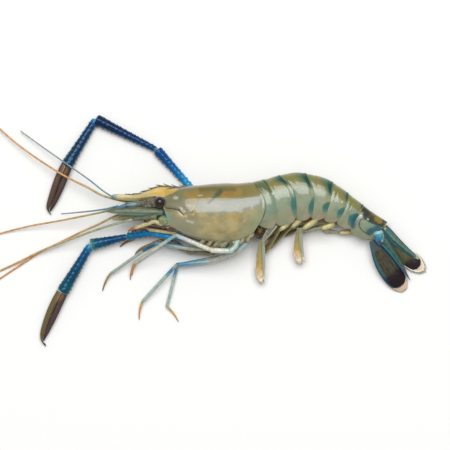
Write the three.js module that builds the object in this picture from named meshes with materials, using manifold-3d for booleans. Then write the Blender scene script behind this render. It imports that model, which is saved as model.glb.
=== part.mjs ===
// A whole raw giant river prawn, lying on its right side with its left flank up.
//
// Units are millimetres and +Z is up. +X runs from the head to the tail, +Y is the side of the back.
// The origin is the flat spot of the second tail ring's right flank, on which the body rests.
// The body is one lofted skin along a bent spine. The head shield and the seven rings are slices of it,
// and every limb is a chain of segments that starts in the body and ends at its own tip.

import * as THREE from 'three';
import { mergeVertices } from 'three/addons/utils/BufferGeometryUtils.js';
import Module from 'manifold-3d';

const wasm = await Module();
wasm.setup();

// ---------------------------------------------------------------- driving dimensions

const JOINT_GAP = 0.3; // between pieces that touch
const RING_GAP = 0.5; // between the plates of neighbouring rings
const LIP_STEP = 0.038; // how much lower a ring starts than the lip that covers it, as a share

// Spine: [along, across, height, half depth (belly to back), half width (flank to flank)].
const SPINE = [
  [-87, -5.5, 20, 12.6, 8.5],
  [-75.5, -6.5, 20.6, 15, 12],
  [-63.5, -7.9, 20.8, 18.1, 14],
  [-49.5, -9, 20.2, 20.6, 15.6],
  [-37, -9, 18.6, 21, 15.8],
  [-24, -6.5, 16.4, 18.9, 15.2],
  [-7, -2, 13.2, 17.5, 14.5],
  [8, 2, 12.5, 17.4, 13.8],
  [23.5, 1, 11.8, 15.7, 12.4],
  [35.5, -3.5, 11, 13.1, 10.8],
  [45, -8.5, 9.6, 11, 9.2],
  [57, -17, 8.2, 9.6, 7.8],
  [67.5, -22.5, 7.2, 7.2, 6.4],
];

// Edges between the plates, as distances along the spine at the back, the flank and the belly.
const SHIELD_FRONT = [-3.5, 3.5, 7.5];
const PLATE_EDGES = [
  [67.5, 72, 61.4],
  [77.6, 80.3, 76.5],
  [90, 95.8, 93.4],
  [103, 108.8, 109],
  [117.8, 120.3, 121.4],
  [129.3, 131.3, 130.6],
  [141.6, 142, 142.9],
  [163.8, 161, 158.8],
];
const PLEURA_ANGLE = 155; // the side plates end this far round from the back, degrees
const PLEURA_SCALLOP = 0.09; // how far the corners of a side plate are cut up, as a share of half depth
const PLEURA_LOW = -0.85; // the scallops start this far down, as a share of half depth
const BELLY_HOLLOW = [[0.4, -0.8], [0.2, -0.7], [-0.2, -0.7], [-0.4, -0.8]]; // shares of half width, depth

// How full the flanks are (less is fuller), and how far they turn in at the belly.
const SHIELD_SIDE = { roundness: 0.64, tuck: 0.22 };
const RING_SIDE = { roundness: 0.55, tuck: 0.12 };

// Facets: points round a section and rows along a plate.
const SHIELD_MESH = { around: 26, rows: 12 };
const RING_MESH = { around: 19, rows: 3 };
const BALL_MESH = { around: 12, rows: 8 };
const PLATE_END = { flankShare: 0.7, sink: 0.1 }; // where the middle of a plate's end face lies
const TANGENT_STEP = 0.5; // step along the spine that gives its direction

// Thorax underside: where it runs along the spine, and its size as shares of the body's.
const THORAX = {
  from: 4, to: 60, rows: 9, sides: 12, sink: 0.78, depth: 0.28, width: 0.37, endShare: 0.55, dome: 0.4,
};

// Rostrum: [along, top, bottom, half thickness], on the head's centre plane.
const ROSTRUM_HEIGHT = 20;
const ROSTRUM = [
  [-119, 2.5, 1.9, 0.4],
  [-110.5, 3.9, -0.7, 0.9],
  [-102, 4.2, -1, 1.2],
  [-96.5, 6.1, -0.8, 1.4],
  [-91.5, 7.9, -1.6, 1.8],
  [-87.5, 9.5, -3, 2.4],
  [-82, 9.8, -4, 3],
  [-75.5, 9.2, -4, 3.4],
  [-68, 9, -4, 3.4],
];
const ROSTRUM_TIP = 1.5; // the point stands this far past the first section
const ROSTRUM_TOOTH = {
  count: 11, first: -114, pitch: 4.3, length: 3.2, height: 1.3, width: 1, sunk: 0.6,
};
// Section of the rostrum from its top to its bottom: [share of the height, share of the half thickness].
const ROSTRUM_SECTION = [[0, 0], [0.25, 0.8], [0.6, 1], [0.85, 0.7], [1, 0]];

const EYE_RADIUS = 3.3;
const LIMB_SIDES = 7;
const CLAW_SIDES = 9;
const HEAD_SIDES = 14;
const LEAST_MITRE = 0.72; // a bend widens its section by no more than one over this

// Along each limb segment: where it narrows after a joint, where it swells, and its knuckle.
const SEGMENT = { neckAt: 0.16, neck: 0.94, swellAt: 0.8, swell: 0.75, knuckle: 1.04 };
const FLAGELLUM = { sides: 6, steps: 13, root: 0.55, tip: 0.25 };

const DEGREE = Math.PI / 180;

// ---------------------------------------------------------------- closed solids

/** Turns a closed mesh of points and faces into a solid, with its faces pointing out. */
function solidFrom(points, faces) {
  const geometry = new THREE.BufferGeometry();
  geometry.setAttribute('position', new THREE.Float32BufferAttribute(points.flat(), 3));
  geometry.setIndex(faces.flat());
  return solidOf(geometry);
}

/** Turns a three.js geometry into a solid. */
function solidOf(geometry) {
  const bare = new THREE.BufferGeometry();
  bare.setAttribute('position', geometry.getAttribute('position'));
  bare.setIndex(geometry.getIndex());
  const merged = mergeVertices(bare, 1e-4);
  const triVerts = Uint32Array.from(merged.getIndex().array);
  const vertProperties = Float32Array.from(merged.getAttribute('position').array);
  if (signedVolume(vertProperties, triVerts) < 0) {
    triVerts.reverse();
  }
  return new wasm.Manifold(new wasm.Mesh({ numProp: 3, vertProperties, triVerts }));
}

/** Six times the volume inside a mesh, below zero when its faces point in. */
function signedVolume(coordinates, triangles) {
  const corner = (index) => new THREE.Vector3().fromArray(coordinates, 3 * index);
  let total = 0;
  for (let i = 0; i < triangles.length; i += 3) {
    total += corner(triangles[i]).dot(corner(triangles[i + 1]).cross(corner(triangles[i + 2])));
  }
  return total;
}

/** Closes a stack of equal loops of points, with a fan to a centre point at each end. */
function stackSolid(loops, firstCentre, lastCentre) {
  const size = loops[0].length;
  const points = [...loops.flat(), firstCentre, lastCentre];
  const first = loops.length * size;
  const faces = [];
  for (let k = 0; k < size; k += 1) {
    const next = (k + 1) % size;
    for (let row = 0; row < loops.length - 1; row += 1) {
      const a = row * size;
      const b = a + size;
      faces.push([a + k, b + k, b + next], [a + k, b + next, a + next]);
    }
    const end = first - size;
    faces.push([first, k, next], [first + 1, end + next, end + k]);
  }
  return solidFrom(points, faces);
}

/** Keeps the largest piece of a solid that a cut has left in pieces. */
function largest(solid) {
  const pieces = solid.decompose();
  return pieces.reduce((best, piece) => (piece.volume() > best.volume() ? piece : best));
}

/** Cuts tools out of a solid and keeps its largest piece. */
function cutBy(solid, ...tools) {
  return largest(tools.reduce((rest, tool) => rest.subtract(tool), solid));
}

// ---------------------------------------------------------------- body skin

const SPINE_DISTANCES = SPINE.reduce((distances, station, i) => {
  if (i === 0) {
    return [0];
  }
  const [x, y] = SPINE[i - 1];
  return [...distances, distances[i - 1] + Math.hypot(station[0] - x, station[1] - y)];
}, []);

/** Smooth cubic through the rows of a table at a distance along it; it runs straight past the ends. */
function sampleTable(knots, rows, distance) {
  const last = knots.length - 1;
  const slope = (i, c) => {
    const a = Math.max(i - 1, 0);
    const b = Math.min(i + 1, last);
    return (rows[b][c] - rows[a][c]) / (knots[b] - knots[a]);
  };
  const inside = THREE.MathUtils.clamp(distance, knots[0], knots[last]);
  const over = distance - inside;
  const i = Math.min(Math.max(knots.findIndex((knot) => knot > inside) - 1, 0), last - 1);
  const cell = inside >= knots[last] ? last - 1 : i;
  const span = knots[cell + 1] - knots[cell];
  const t = (inside - knots[cell]) / span;
  return rows[0].map((_, c) => {
    const from = rows[cell][c];
    const to = rows[cell + 1][c];
    const rise = to - from;
    const out = slope(cell, c) * span;
    const into = slope(cell + 1, c) * span;
    const curve = (out + into - 2 * rise) * t ** 3 + (3 * rise - 2 * out - into) * t ** 2 + out * t;
    return from + curve + over * slope(over < 0 ? 0 : last, c);
  });
}

/** The body's centre, its axes towards the back and the left flank, and its half sizes. */
function bodyFrame(distance) {
  const [x, y, z, depth, width] = sampleTable(SPINE_DISTANCES, SPINE, distance);
  const [x2, y2, z2] = sampleTable(SPINE_DISTANCES, SPINE, distance + TANGENT_STEP);
  const along = new THREE.Vector3(x2 - x, y2 - y, z2 - z).normalize();
  const back = new THREE.Vector3(-along.y, along.x, 0).normalize();
  const flank = new THREE.Vector3().crossVectors(along, back);
  return { centre: new THREE.Vector3(x, y, z), back, flank, depth, width };
}

/** A point of the body at a distance along the spine, and at offsets towards back and left flank. */
function bodyPoint(distance, up, side) {
  const { centre, back, flank } = bodyFrame(distance);
  return centre.addScaledVector(back, up).addScaledVector(flank, side);
}

/** Where a plate's edge crosses the section at an angle round from the back. */
function edgeAt([atBack, atFlank, atBelly], angle) {
  const c = Math.cos(angle);
  return atFlank + ((atBack - atBelly) / 2) * c + ((atBack + atBelly) / 2 - atFlank) * c * c;
}

/** Points out to the side: a full flank that turns in towards the belly. */
function sideShare(angle, { roundness, tuck }) {
  const sine = Math.sin(angle);
  const low = (1 - Math.cos(angle)) / 2;
  return Math.sign(sine) * Math.abs(sine) ** roundness * (1 - tuck * low * low);
}

/** Section of the head shield, as [angle, up share, side share]. */
function shieldSection(sides) {
  return Array.from({ length: sides }, (_, k) => {
    const angle = (2 * Math.PI * k) / sides;
    return [angle, Math.cos(angle), sideShare(angle, SHIELD_SIDE)];
  });
}

/** Section of a tail ring: a round back, two hanging side plates and a hollow belly. */
function ringSection(sides) {
  const end = PLEURA_ANGLE * DEGREE;
  const outer = Array.from({ length: sides + 1 }, (_, k) => {
    const angle = -end + (2 * end * k) / sides;
    const c = Math.cos(angle);
    return [angle, c < 0 ? c / Math.abs(Math.cos(end)) : c, sideShare(angle, RING_SIDE)];
  });
  return [...outer, ...BELLY_HOLLOW.map(([side, up]) => [Math.PI, up, side])];
}

/** A closed slice of the body between two plate edges. */
function bodySlice(section, front, rear, rows, options = {}) {
  const { grow = 0, gap = 0, step = 0, scallop = 0, rest = false } = options;
  const loopAt = (t) => section.map(([angle, up, side]) => {
    const from = edgeAt(front, angle) + gap / 2 - grow;
    const to = edgeAt(rear, angle) - gap / 2 + grow;
    const distance = from + (to - from) * t;
    const { depth, width } = bodyFrame(distance);
    const lip = 1 - step * (1 - Math.sqrt(t));
    const corner = up < PLEURA_LOW ? 1 - scallop * (2 * t - 1) ** 4 : 1;
    const p = bodyPoint(distance, up * (depth * lip * corner + grow), side * (width * lip + grow));
    return [p.x, p.y, rest ? Math.max(p.z, 0) : p.z];
  });
  const loops = Array.from({ length: rows + 1 }, (_, row) => loopAt(row / rows));
  const middle = (edge, shift) => {
    const { flankShare, sink } = PLATE_END;
    const [atFlank, atBelly] = [edgeAt(edge, Math.PI / 2), edgeAt(edge, Math.PI)];
    const distance = atFlank * flankShare + atBelly * (1 - flankShare) + shift;
    return bodyPoint(distance, -sink * bodyFrame(distance).depth, 0).toArray();
  };
  return stackSolid(loops, middle(front, gap / 2 - grow), middle(rear, grow - gap / 2));
}

// ---------------------------------------------------------------- limbs

/** Loft through oval sections, given as [x, y, z, radius across, radius upright], mitred at bends. */
function ovalLoft(stations, { sides = LIMB_SIDES, dome = 0.5, grow = 0 } = {}) {
  const centres = stations.map(([x, y, z]) => new THREE.Vector3(x, y, z));
  const last = centres.length - 1;
  const heading = (i) => {
    const from = centres[Math.min(i, last - 1)];
    return centres[Math.min(i + 1, last)].clone().sub(from).normalize();
  };
  const loops = stations.map(([, , , across, upright], i) => {
    const before = heading(Math.max(i - 1, 0));
    const mitre = before.clone().add(heading(i)).normalize();
    const side = new THREE.Vector3(-mitre.y, mitre.x, 0).normalize();
    const top = new THREE.Vector3().crossVectors(mitre, side);
    const stretch = 1 / Math.max(before.dot(mitre), LEAST_MITRE);
    return Array.from({ length: sides }, (_, k) => {
      const angle = (2 * Math.PI * (k + 0.5)) / sides;
      const point = centres[i].clone();
      point.addScaledVector(side, (across * stretch + grow) * Math.cos(angle));
      point.addScaledVector(top, (upright + grow) * Math.sin(angle));
      return point.toArray();
    });
  });
  const cap = (i, sign) => {
    const radius = Math.min(stations[i][3], stations[i][4]);
    return centres[i].clone().addScaledVector(heading(i), sign * (dome * radius + grow)).toArray();
  };
  return stackSolid(loops, cap(0, -1), cap(last, 1));
}

/** Joints of a limb: a base point, then [length, heading in degrees, end height] for each segment. */
function jointsOf(base, segments) {
  const joints = [base];
  for (const [length, heading, height] of segments) {
    const [x, y] = joints[joints.length - 1];
    const angle = heading * DEGREE;
    joints.push([x + length * Math.cos(angle), y + length * Math.sin(angle), height]);
  }
  return joints;
}

/** Point on the straight line between two joints. */
function between(a, b, t) {
  return a.map((value, i) => value + (b[i] - value) * t);
}

/**
 * Stations of a limb whose segments are [length, heading, end height, radius, end radius].
 * Each segment swells a little past its middle, and each joint is a knuckle.
 */
function limbStations(base, segments, flat = 1) {
  const joints = jointsOf(base, segments);
  const oval = (point, radius) => [...point, radius, radius * flat];
  const stations = [oval(joints[0], segments[0][3])];
  segments.forEach(([, , , radius, endRadius = radius], i) => {
    const [a, b] = [joints[i], joints[i + 1]];
    const next = segments[i + 1];
    const knuckle = next ? Math.max(endRadius, next[3]) * SEGMENT.knuckle : endRadius;
    stations.push(oval(between(a, b, SEGMENT.neckAt), radius * SEGMENT.neck));
    stations.push(oval(between(a, b, SEGMENT.swellAt), radius + (endRadius - radius) * SEGMENT.swell));
    stations.push(oval(b, knuckle));
  });
  return stations;
}

/** A whole limb of straight segments. */
function limb(base, segments, { flat = 1, ...loft } = {}) {
  return ovalLoft(limbStations(base, segments, flat), { dome: 0.8, ...loft });
}

/** A smooth tapering whip along a chain of segments. */
function whip(base, segments) {
  const { root, tip } = FLAGELLUM;
  const points = jointsOf(base, segments).map((joint) => new THREE.Vector3(...joint));
  const curve = new THREE.CatmullRomCurve3(points, false, 'centripetal');
  const stations = curve.getSpacedPoints(FLAGELLUM.steps).map((point, i) => {
    const radius = root + (tip - root) * (i / FLAGELLUM.steps);
    return [...point.toArray(), radius, radius];
  });
  return ovalLoft(stations, { sides: FLAGELLUM.sides, dome: 1 });
}

/** A flat rounded blade such as a tail lobe or a scale: its width swells and then narrows to a tip. */
function blade(base, segments, profile, thickness, grow = 0) {
  const points = jointsOf(base, segments).map((joint) => new THREE.Vector3(...joint));
  const curve = new THREE.CatmullRomCurve3(points, false, 'centripetal');
  const stations = profile.map(([t, halfWidth]) => {
    const edge = Math.min(1, halfWidth / (2 * thickness));
    return [...curve.getPointAt(t).toArray(), halfWidth, thickness * Math.max(edge, 0.5)];
  });
  return ovalLoft(stations, { sides: CLAW_SIDES, dome: 0.6, grow });
}

// ---------------------------------------------------------------- pieces

const prawn = new THREE.Group();

/** Adds a solid to the prawn as a named mesh with its own finish. */
function addPiece(name, solid, colour, roughness = 0.3) {
  const { vertProperties, triVerts } = solid.getMesh();
  const geometry = new THREE.BufferGeometry();
  geometry.setAttribute('position', new THREE.BufferAttribute(vertProperties, 3));
  geometry.setIndex(new THREE.BufferAttribute(triVerts, 1));
  const material = new THREE.MeshStandardMaterial({ color: colour, roughness, metalness: 0 });
  const mesh = new THREE.Mesh(geometry, material);
  mesh.name = name;
  prawn.add(mesh);
}

const COLOURS = {
  shield: 0x8f8f68,
  ring: 0x84886a,
  belly: 0x9b9a74,
  head: 0x6e6a4a,
  eye: 0x1d1320,
  teal: 0x6f9c93,
  arm: 0x123f80,
  claw: 0x3a2a20,
  leg: 0xb9c4bd,
  orange: 0xc08a52,
  grey: 0x7d95a3,
  tail: 0x1d6c80,
  swimmer: 0xb7a778,
};

/** Rostrum blade with its row of forward teeth along the top edge. */
function rostrumSolid() {
  const loops = ROSTRUM.map(([x, top, bottom, half]) => {
    const at = ([t, share], side) => [x, top + (bottom - top) * t, ROSTRUM_HEIGHT + side * half * share];
    const right = ROSTRUM_SECTION.slice(0, -1).map((point) => at(point, -1));
    const left = ROSTRUM_SECTION.slice(1).reverse().map((point) => at(point, 1));
    return [...right, ...left];
  });
  const middle = ([x, top, bottom], shift) => [x + shift, (top + bottom) / 2, ROSTRUM_HEIGHT];
  let solid = stackSolid(loops, middle(ROSTRUM[0], -ROSTRUM_TIP), middle(ROSTRUM.at(-1), ROSTRUM_TIP));
  const knots = ROSTRUM.map(([x]) => x);
  const { count, first, pitch, length, height, width, sunk } = ROSTRUM_TOOTH;
  for (let i = 0; i < count; i += 1) {
    const x = first + i * pitch;
    const [, top] = sampleTable(knots, ROSTRUM, x);
    const foot = (along, side) => [x + along, top - sunk, ROSTRUM_HEIGHT + side];
    const root = [
      foot(-length / 3, 0), foot(length / 3, width / 2), foot(length, 0), foot(length / 3, -width / 2),
    ];
    const tip = [x - length / 2, top + height, ROSTRUM_HEIGHT];
    const keel = [x + length / 3, top - 2 * sunk, ROSTRUM_HEIGHT];
    solid = solid.add(stackSolid([root], tip, keel));
  }
  return solid;
}

/** The thorax underside, which carries the legs, as a long oval block below the head shield. */
function thoraxSolid(grow = 0) {
  const { rows, endShare, sides, dome } = THORAX;
  const stations = Array.from({ length: rows + 1 }, (_, i) => {
    const distance = THORAX.from + ((THORAX.to - THORAX.from) * i) / rows;
    const { depth, width } = bodyFrame(distance);
    const swell = endShare + (1 - endShare) * Math.sqrt(Math.sin(Math.PI * (i / rows)));
    const centre = bodyPoint(distance, -THORAX.sink * depth, 0).toArray();
    return [...centre, THORAX.depth * depth * swell, THORAX.width * width * swell];
  });
  return ovalLoft(stations, { sides, dome, grow });
}

/** An oval ball. */
function ball(centre, radii, grow = 0) {
  const geometry = new THREE.SphereGeometry(1, BALL_MESH.around, BALL_MESH.rows);
  geometry.scale(...radii.map((radius) => radius + grow));
  geometry.translate(...centre);
  return solidOf(geometry);
}

// Body plates
const shield = [shieldSection(SHIELD_MESH.around), SHIELD_FRONT, PLATE_EDGES[0], SHIELD_MESH.rows];
const carapaceLoft = bodySlice(...shield, { gap: RING_GAP });
const carapaceGrown = bodySlice(...shield, { gap: RING_GAP, grow: JOINT_GAP });
const thorax = thoraxSolid();
const thoraxGrown = thoraxSolid(JOINT_GAP);
addPiece('carapace', cutBy(carapaceLoft.add(rostrumSolid()), thoraxGrown), COLOURS.shield, 0.25);
addPiece('thorax_underside', thorax, COLOURS.belly, 0.4);

const ringLoop = ringSection(RING_MESH.around);
const ringsGrown = [];
for (let i = 0; i + 1 < PLATE_EDGES.length; i += 1) {
  const plate = [ringLoop, PLATE_EDGES[i], PLATE_EDGES[i + 1], RING_MESH.rows];
  const shape = { gap: RING_GAP, step: LIP_STEP, scallop: PLEURA_SCALLOP, rest: true };
  const ring = bodySlice(...plate, shape);
  const tools = i === 0 ? [carapaceGrown, thoraxGrown] : [];
  addPiece(`abdomen_ring_${i + 1}`, cutBy(ring, ...tools), COLOURS.ring, 0.25);
  ringsGrown.push(bodySlice(...plate, { ...shape, grow: JOINT_GAP }));
}

// The two sides of the head: +1 is the left side, which faces up
const SIDES = [['left', 1], ['right', -1]];
const HEAD_HEIGHT = 20;

const ANTENNA_BASE = { at: [-85, -14.7], offset: 7.6, radii: [4.6, 4.3, 4] };
const baseCentre = (sign) => [...ANTENNA_BASE.at, HEAD_HEIGHT + sign * ANTENNA_BASE.offset];

// Antenna stalks: where each starts, and its one segment
const ANTENNA_STALKS = {
  left: [[-88, -11.5, 27.3], [[15, 187, 25, 1.7, 1.1]]],
  right: [[-88, -12, 14], [[14, 172, 14.3, 1.7, 1.1]]],
};

// Third pair of mouth legs
const MOUTH_LEGS = {
  left: [[-79, -19, 21.5], [[11.5, 159, 20, 1.4], [14, 199, 17, 1.2, 0.9], [6, 207, 14.8, 0.8, 0.4]]],
  right: [[-77, -18.5, 14], [
    [6.5, 203, 11, 1.3], [9.5, 170, 7.2, 1.2], [8, 184, 6, 1, 0.9], [4.5, 205, 5, 0.8, 0.4],
  ]],
};

const HEAD_BLOCK = [
  [-77, -9, HEAD_HEIGHT, 6.5, 6],
  [-84, -9, HEAD_HEIGHT, 6.8, 5.4],
  [-91, -7, HEAD_HEIGHT, 5.4, 4.6],
  [-98, -5.5, HEAD_HEIGHT, 3.4, 4.4],
];

const basesGrown = SIDES.map(([side, sign]) => {
  const [base, segments] = ANTENNA_STALKS[side];
  return ball(baseCentre(sign), ANTENNA_BASE.radii, JOINT_GAP).add(limb(base, segments, { grow: JOINT_GAP }));
});
const mouthLegsGrown = SIDES.map(([side]) => limb(...MOUTH_LEGS[side], { grow: JOINT_GAP }));
const rostrumGrown = ovalLoft(ROSTRUM.slice(2).map(([x, top, bottom, half]) => [
  x, (top + bottom) / 2, ROSTRUM_HEIGHT, (top - bottom) / 2, half + JOINT_GAP,
]), { sides: HEAD_SIDES, grow: 2 * JOINT_GAP });
const headLoft = ovalLoft(HEAD_BLOCK, { sides: HEAD_SIDES });
const headGrown = ovalLoft(HEAD_BLOCK, { sides: HEAD_SIDES, grow: JOINT_GAP });
const headTools = [carapaceGrown, thoraxGrown, rostrumGrown, ...basesGrown, ...mouthLegsGrown];
addPiece('head_front', cutBy(headLoft, ...headTools), COLOURS.head, 0.5);

const EYE = {
  at: [-85.6, -1.9], offset: 7.6, flat: 0.92,
  stalkFrom: [-94, -2.8], stalkOffset: 3.6, stalkRadii: [1.6, 2, 2.4],
};
const ANTENNULES = {
  left: [[-97, -4.4, 22.4], [
    [4, 181, 22.8, 1.8, 1.6], [6.5, 180, 23.2, 1.5, 1.3], [6, 182, 23.4, 1.2, 0.9],
  ]],
  right: [[-97, -2.8, 17.4], [[3, 174, 17, 1.7, 1.5], [3, 170, 16.6, 1.4, 1.1]]],
};
const SCALES = {
  left: [[-90, -7.6, 25.4], [[16, 181, 25.6], [15.5, 182, 24.4]]],
  right: [[-90, -8, 16], [[15, 180, 16.4], [13, 180, 16.8]]],
};
const SCALE_PROFILE = [[0, 1.4], [0.15, 2.3], [0.45, 2.9], [0.75, 2.5], [0.92, 1.2], [1, 0.4]];
const SCALE_THICKNESS = 0.7;

SIDES.forEach(([side, sign], i) => {
  const eyeCentre = [...EYE.at, HEAD_HEIGHT + sign * EYE.offset];
  const stalkRoot = [...EYE.stalkFrom, HEAD_HEIGHT + sign * EYE.stalkOffset];
  const stalk = ovalLoft(EYE.stalkRadii.map((radius, row) => [
    ...between(stalkRoot, eyeCentre, row / 2), radius, radius,
  ]));
  const eyeball = ball(eyeCentre, [EYE_RADIUS, EYE_RADIUS, EYE_RADIUS * EYE.flat]);
  const eye = cutBy(eyeball.add(stalk), carapaceGrown, headGrown, rostrumGrown);
  addPiece(`${side}_eye`, eye, COLOURS.eye, 0.08);

  const bulb = ball(baseCentre(sign), ANTENNA_BASE.radii).add(limb(...ANTENNA_STALKS[side]));
  addPiece(`${side}_antenna_base`, cutBy(bulb, carapaceGrown, thoraxGrown), COLOURS.teal, 0.35);

  const antennule = cutBy(limb(...ANTENNULES[side]), headGrown, rostrumGrown);
  addPiece(`${side}_antennule`, antennule, COLOURS.teal, 0.35);

  const scale = blade(...SCALES[side], SCALE_PROFILE, SCALE_THICKNESS);
  addPiece(`${side}_antenna_scale`, cutBy(scale, headGrown, basesGrown[i]), COLOURS.teal, 0.35);
  const mouthLeg = cutBy(limb(...MOUTH_LEGS[side]), carapaceGrown, thoraxGrown);
  addPiece(`${side}_mouth_leg`, mouthLeg, COLOURS.orange, 0.4);
});

// Feelers: base point and chain of [length, heading, end height]
const FEELERS = {
  right_antennule_feeler_1: [[-103.9, -1.3, 17.3], COLOURS.grey, [
    [16.5, 166, 17.5], [20.5, 144, 13], [19.5, 145, 9.8], [19, 145, 6], [20, 144, 3],
  ]],
  right_antennule_feeler_2: [[-103.9, -2.4, 15.9], COLOURS.orange, [
    [13.5, 168, 15], [10.5, 163, 14], [11, 151, 12.6], [14, 154, 11], [11.5, 150, 10],
    [15.5, 147, 8], [17.5, 144, 5.5], [18.5, 139, 3.2], [19, 137, 1.6], [18, 135, 0.6],
  ]],
  left_antennule_feeler_1: [[-114.9, -4.1, 24], COLOURS.grey, [
    [7.5, 195, 22.4], [8.5, 189, 19.5], [12.5, 186, 15.5], [12.5, 185, 12],
  ]],
  left_antennule_feeler_2: [[-114.9, -5.1, 22.7], COLOURS.orange, [
    [9, 198, 20], [13, 192, 15.5], [21, 191, 9], [21.5, 190, 4.5], [21.5, 194, 1.4], [22.5, 198, 0.7],
    [22, 200, 0.6],
  ]],
  right_antenna_feeler: [[-103.8, -10, 14.3], COLOURS.orange, [
    [11.5, 183, 13.5], [15, 205, 10.5], [15.5, 204, 7.5], [15.5, 206, 4.5], [15.5, 206, 2.2], [17, 213, 1.3],
    [17, 214, 0.8], [20.5, 216, 0.7], [20, 219, 0.6],
  ]],
  left_antenna_feeler: [[-104.9, -13.6, 24.8], COLOURS.orange, [
    [14, 195, 20.5], [13.5, 197, 16.5], [14, 200, 12], [14, 200, 7.6], [14.5, 203, 4.6], [15.5, 206, 2.4],
    [15.5, 205, 1.2], [23, 204, 0.7], [23, 204, 0.6],
  ]],
};
for (const [name, [base, colour, segments]] of Object.entries(FEELERS)) {
  addPiece(name, whip(base, segments), colour, 0.4);
}

// Walking legs: base point, then [length, heading, end height, radius, end radius] for each segment
const LEGS = {
  left_leg_1: [[-65, -23, 20.5], [
    [12, 180, 19.4, 1.4], [16.5, 172, 16.8, 1.3, 1.1], [4, 157, 10.5, 1, 0.9], [11.5, 226, 4, 0.9, 0.8],
    [11, 210, 0.9, 0.8, 0.35],
  ]],
  right_leg_1: [[-68, -22.5, 12.5], [
    [14, 178, 5.5, 1.5], [12.5, 155, 3.5, 1.4, 1.1], [8.5, 197, 2.4, 1, 0.9], [6, 215, 1, 0.8, 0.35],
  ]],
  left_leg_3: [[-40, -28.5, 23.5], [
    [13, 206, 18.5, 1.5], [14, 179, 15, 1.4], [23, 171, 11, 1.4, 1.3], [11, 209, 8, 1.1, 0.9],
    [28, 215, 4, 0.85, 0.75], [13.5, 245, 0.8, 0.65, 0.25],
  ]],
  right_leg_3: [[-42.5, -30, 15], [
    [10, 229, 9, 1.5], [18, 175, 6, 1.4], [20.5, 158, 4.6, 1.3, 1.1], [14.5, 203, 3, 0.9, 0.75],
    [6, 223, 0.8, 0.6, 0.25],
  ]],
  left_leg_4: [[-31.5, -27.5, 23.5], [
    [9, 232, 25, 1.6], [13, 182, 24.5, 1.6], [27, 157, 23, 1.5, 1.3], [35, 214, 8, 1, 0.8],
    [12.5, 255, 0.9, 0.7, 0.25],
  ]],
  right_leg_4: [[-33, -28.5, 14], [
    [10.5, 218, 4.4, 1.6], [24, 184, 2.4, 1.5], [16.5, 146, 1.9, 1.3], [28.5, 214, 1.4, 0.9, 0.8],
    [10.5, 250, 0.8, 0.65, 0.25],
  ]],
  left_leg_5: [[-24.5, -25, 20.5], [
    [4, 260, 20.5, 1.5], [9.5, 225, 18, 1.5], [20, 201, 12, 1.5, 1.4], [24, 186, 8, 1.4, 1.2],
    [35, 227, 4, 1, 0.8], [13.5, 259, 0.8, 0.7, 0.25],
  ]],
  right_leg_5: [[-26, -26.5, 13], [
    [7.5, 237, 8, 1.5], [11.5, 213, 5.5, 1.5], [35, 191, 3.6, 1.4, 1.2], [30, 256, 2.2, 0.9, 0.75],
    [13.5, 307, 0.8, 0.65, 0.25],
  ]],
};
for (const [name, [base, segments]] of Object.entries(LEGS)) {
  addPiece(name, cutBy(limb(base, segments), carapaceGrown, thoraxGrown), COLOURS.leg, 0.35);
}

// Claw arms: the joints of each arm in order, with [length, heading, end height, radius, end radius]
const ARMS = {
  left: {
    base: [-65, -24.5, 17.5],
    merus: [[12.5, 185, 15.8, 1.7, 1.9], [15.5, 169.5, 12.4, 1.7, 1.9], [16.5, 190, 8.6, 2.3, 2.4]],
    carpus: [[1.5, 187, 8.3, 1.7], [25, 193, 5.8, 2, 4]],
    palm: [[3, 215, 5.4, 2.2], [36, 241, 4.1, 2.5, 4.1]],
    fixedFinger: [
      [14.5, 241, 3.8, 2.3], [16.5, 245, 3.2, 2, 1.7], [8, 258, 2.8, 1.4, 1], [6, 298, 2, 0.8, 0.3],
    ],
    movableFinger: [[15.5, 245, 3.8, 2.2, 2], [15.5, 242, 3.2, 1.9, 1.3], [9, 240, 2.6, 1.1, 0.4]],
  },
  right: {
    base: [-48.5, -25, 13],
    merus: [[6.5, 121, 2.7, 2], [32, 115, 2.7, 2, 2.1], [34.5, 132, 3.6, 2.3, 3.2]],
    carpus: [[2, 140, 3.7, 1.8], [46, 154, 3.7, 2, 3.7]],
    palm: [[3.5, 190, 3.8, 2.2], [36.5, 242, 4, 2.4, 4]],
    fixedFinger: [
      [12.5, 242, 3.8, 2.3], [15, 250, 3.2, 2, 1.7], [7.5, 256, 2.8, 1.4, 1], [5.5, 296, 2, 0.8, 0.3],
    ],
    movableFinger: [[13.5, 250, 3.8, 2.3, 2], [14.5, 246, 3.2, 1.9, 1.3], [8, 242, 2.6, 1.1, 0.4]],
  },
};
const ARM_FLAT = 0.95; // height of an arm's section as a share of its width
const FINGER_SPREAD = 1.95; // each finger's root lies this far to the side of the palm's middle
const FINGER_SINK = 2.5; // and starts this far inside the palm
const LEAST_STEP = 1; // stations of an opened limb are no closer than this

/** The point a distance back along a heading and out to one side of it. */
function beside([x, y, z], heading, back, out) {
  const [c, s] = [Math.cos(heading * DEGREE), Math.sin(heading * DEGREE)];
  return [x - back * c - out * s, y - back * s + out * c, z];
}

/** Opens the joints at both ends of a chain by the joint gap, and drops stations that lie too close. */
function opened(stations) {
  const last = stations.length - 1;
  const step = (from, to) => Math.hypot(to[0] - from[0], to[1] - from[1], to[2] - from[2]);
  const pull = (from, to) => {
    const share = (2 * JOINT_GAP) / step(from, to);
    return [...between(from.slice(0, 3), to.slice(0, 3), share), ...from.slice(3)];
  };
  const kept = [pull(stations[0], stations[3])];
  for (const station of stations.slice(1, last)) {
    if (step(kept.at(-1), station) > LEAST_STEP) {
      kept.push(station);
    }
  }
  return [...kept, pull(stations[last], stations[last - 1])];
}

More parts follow.
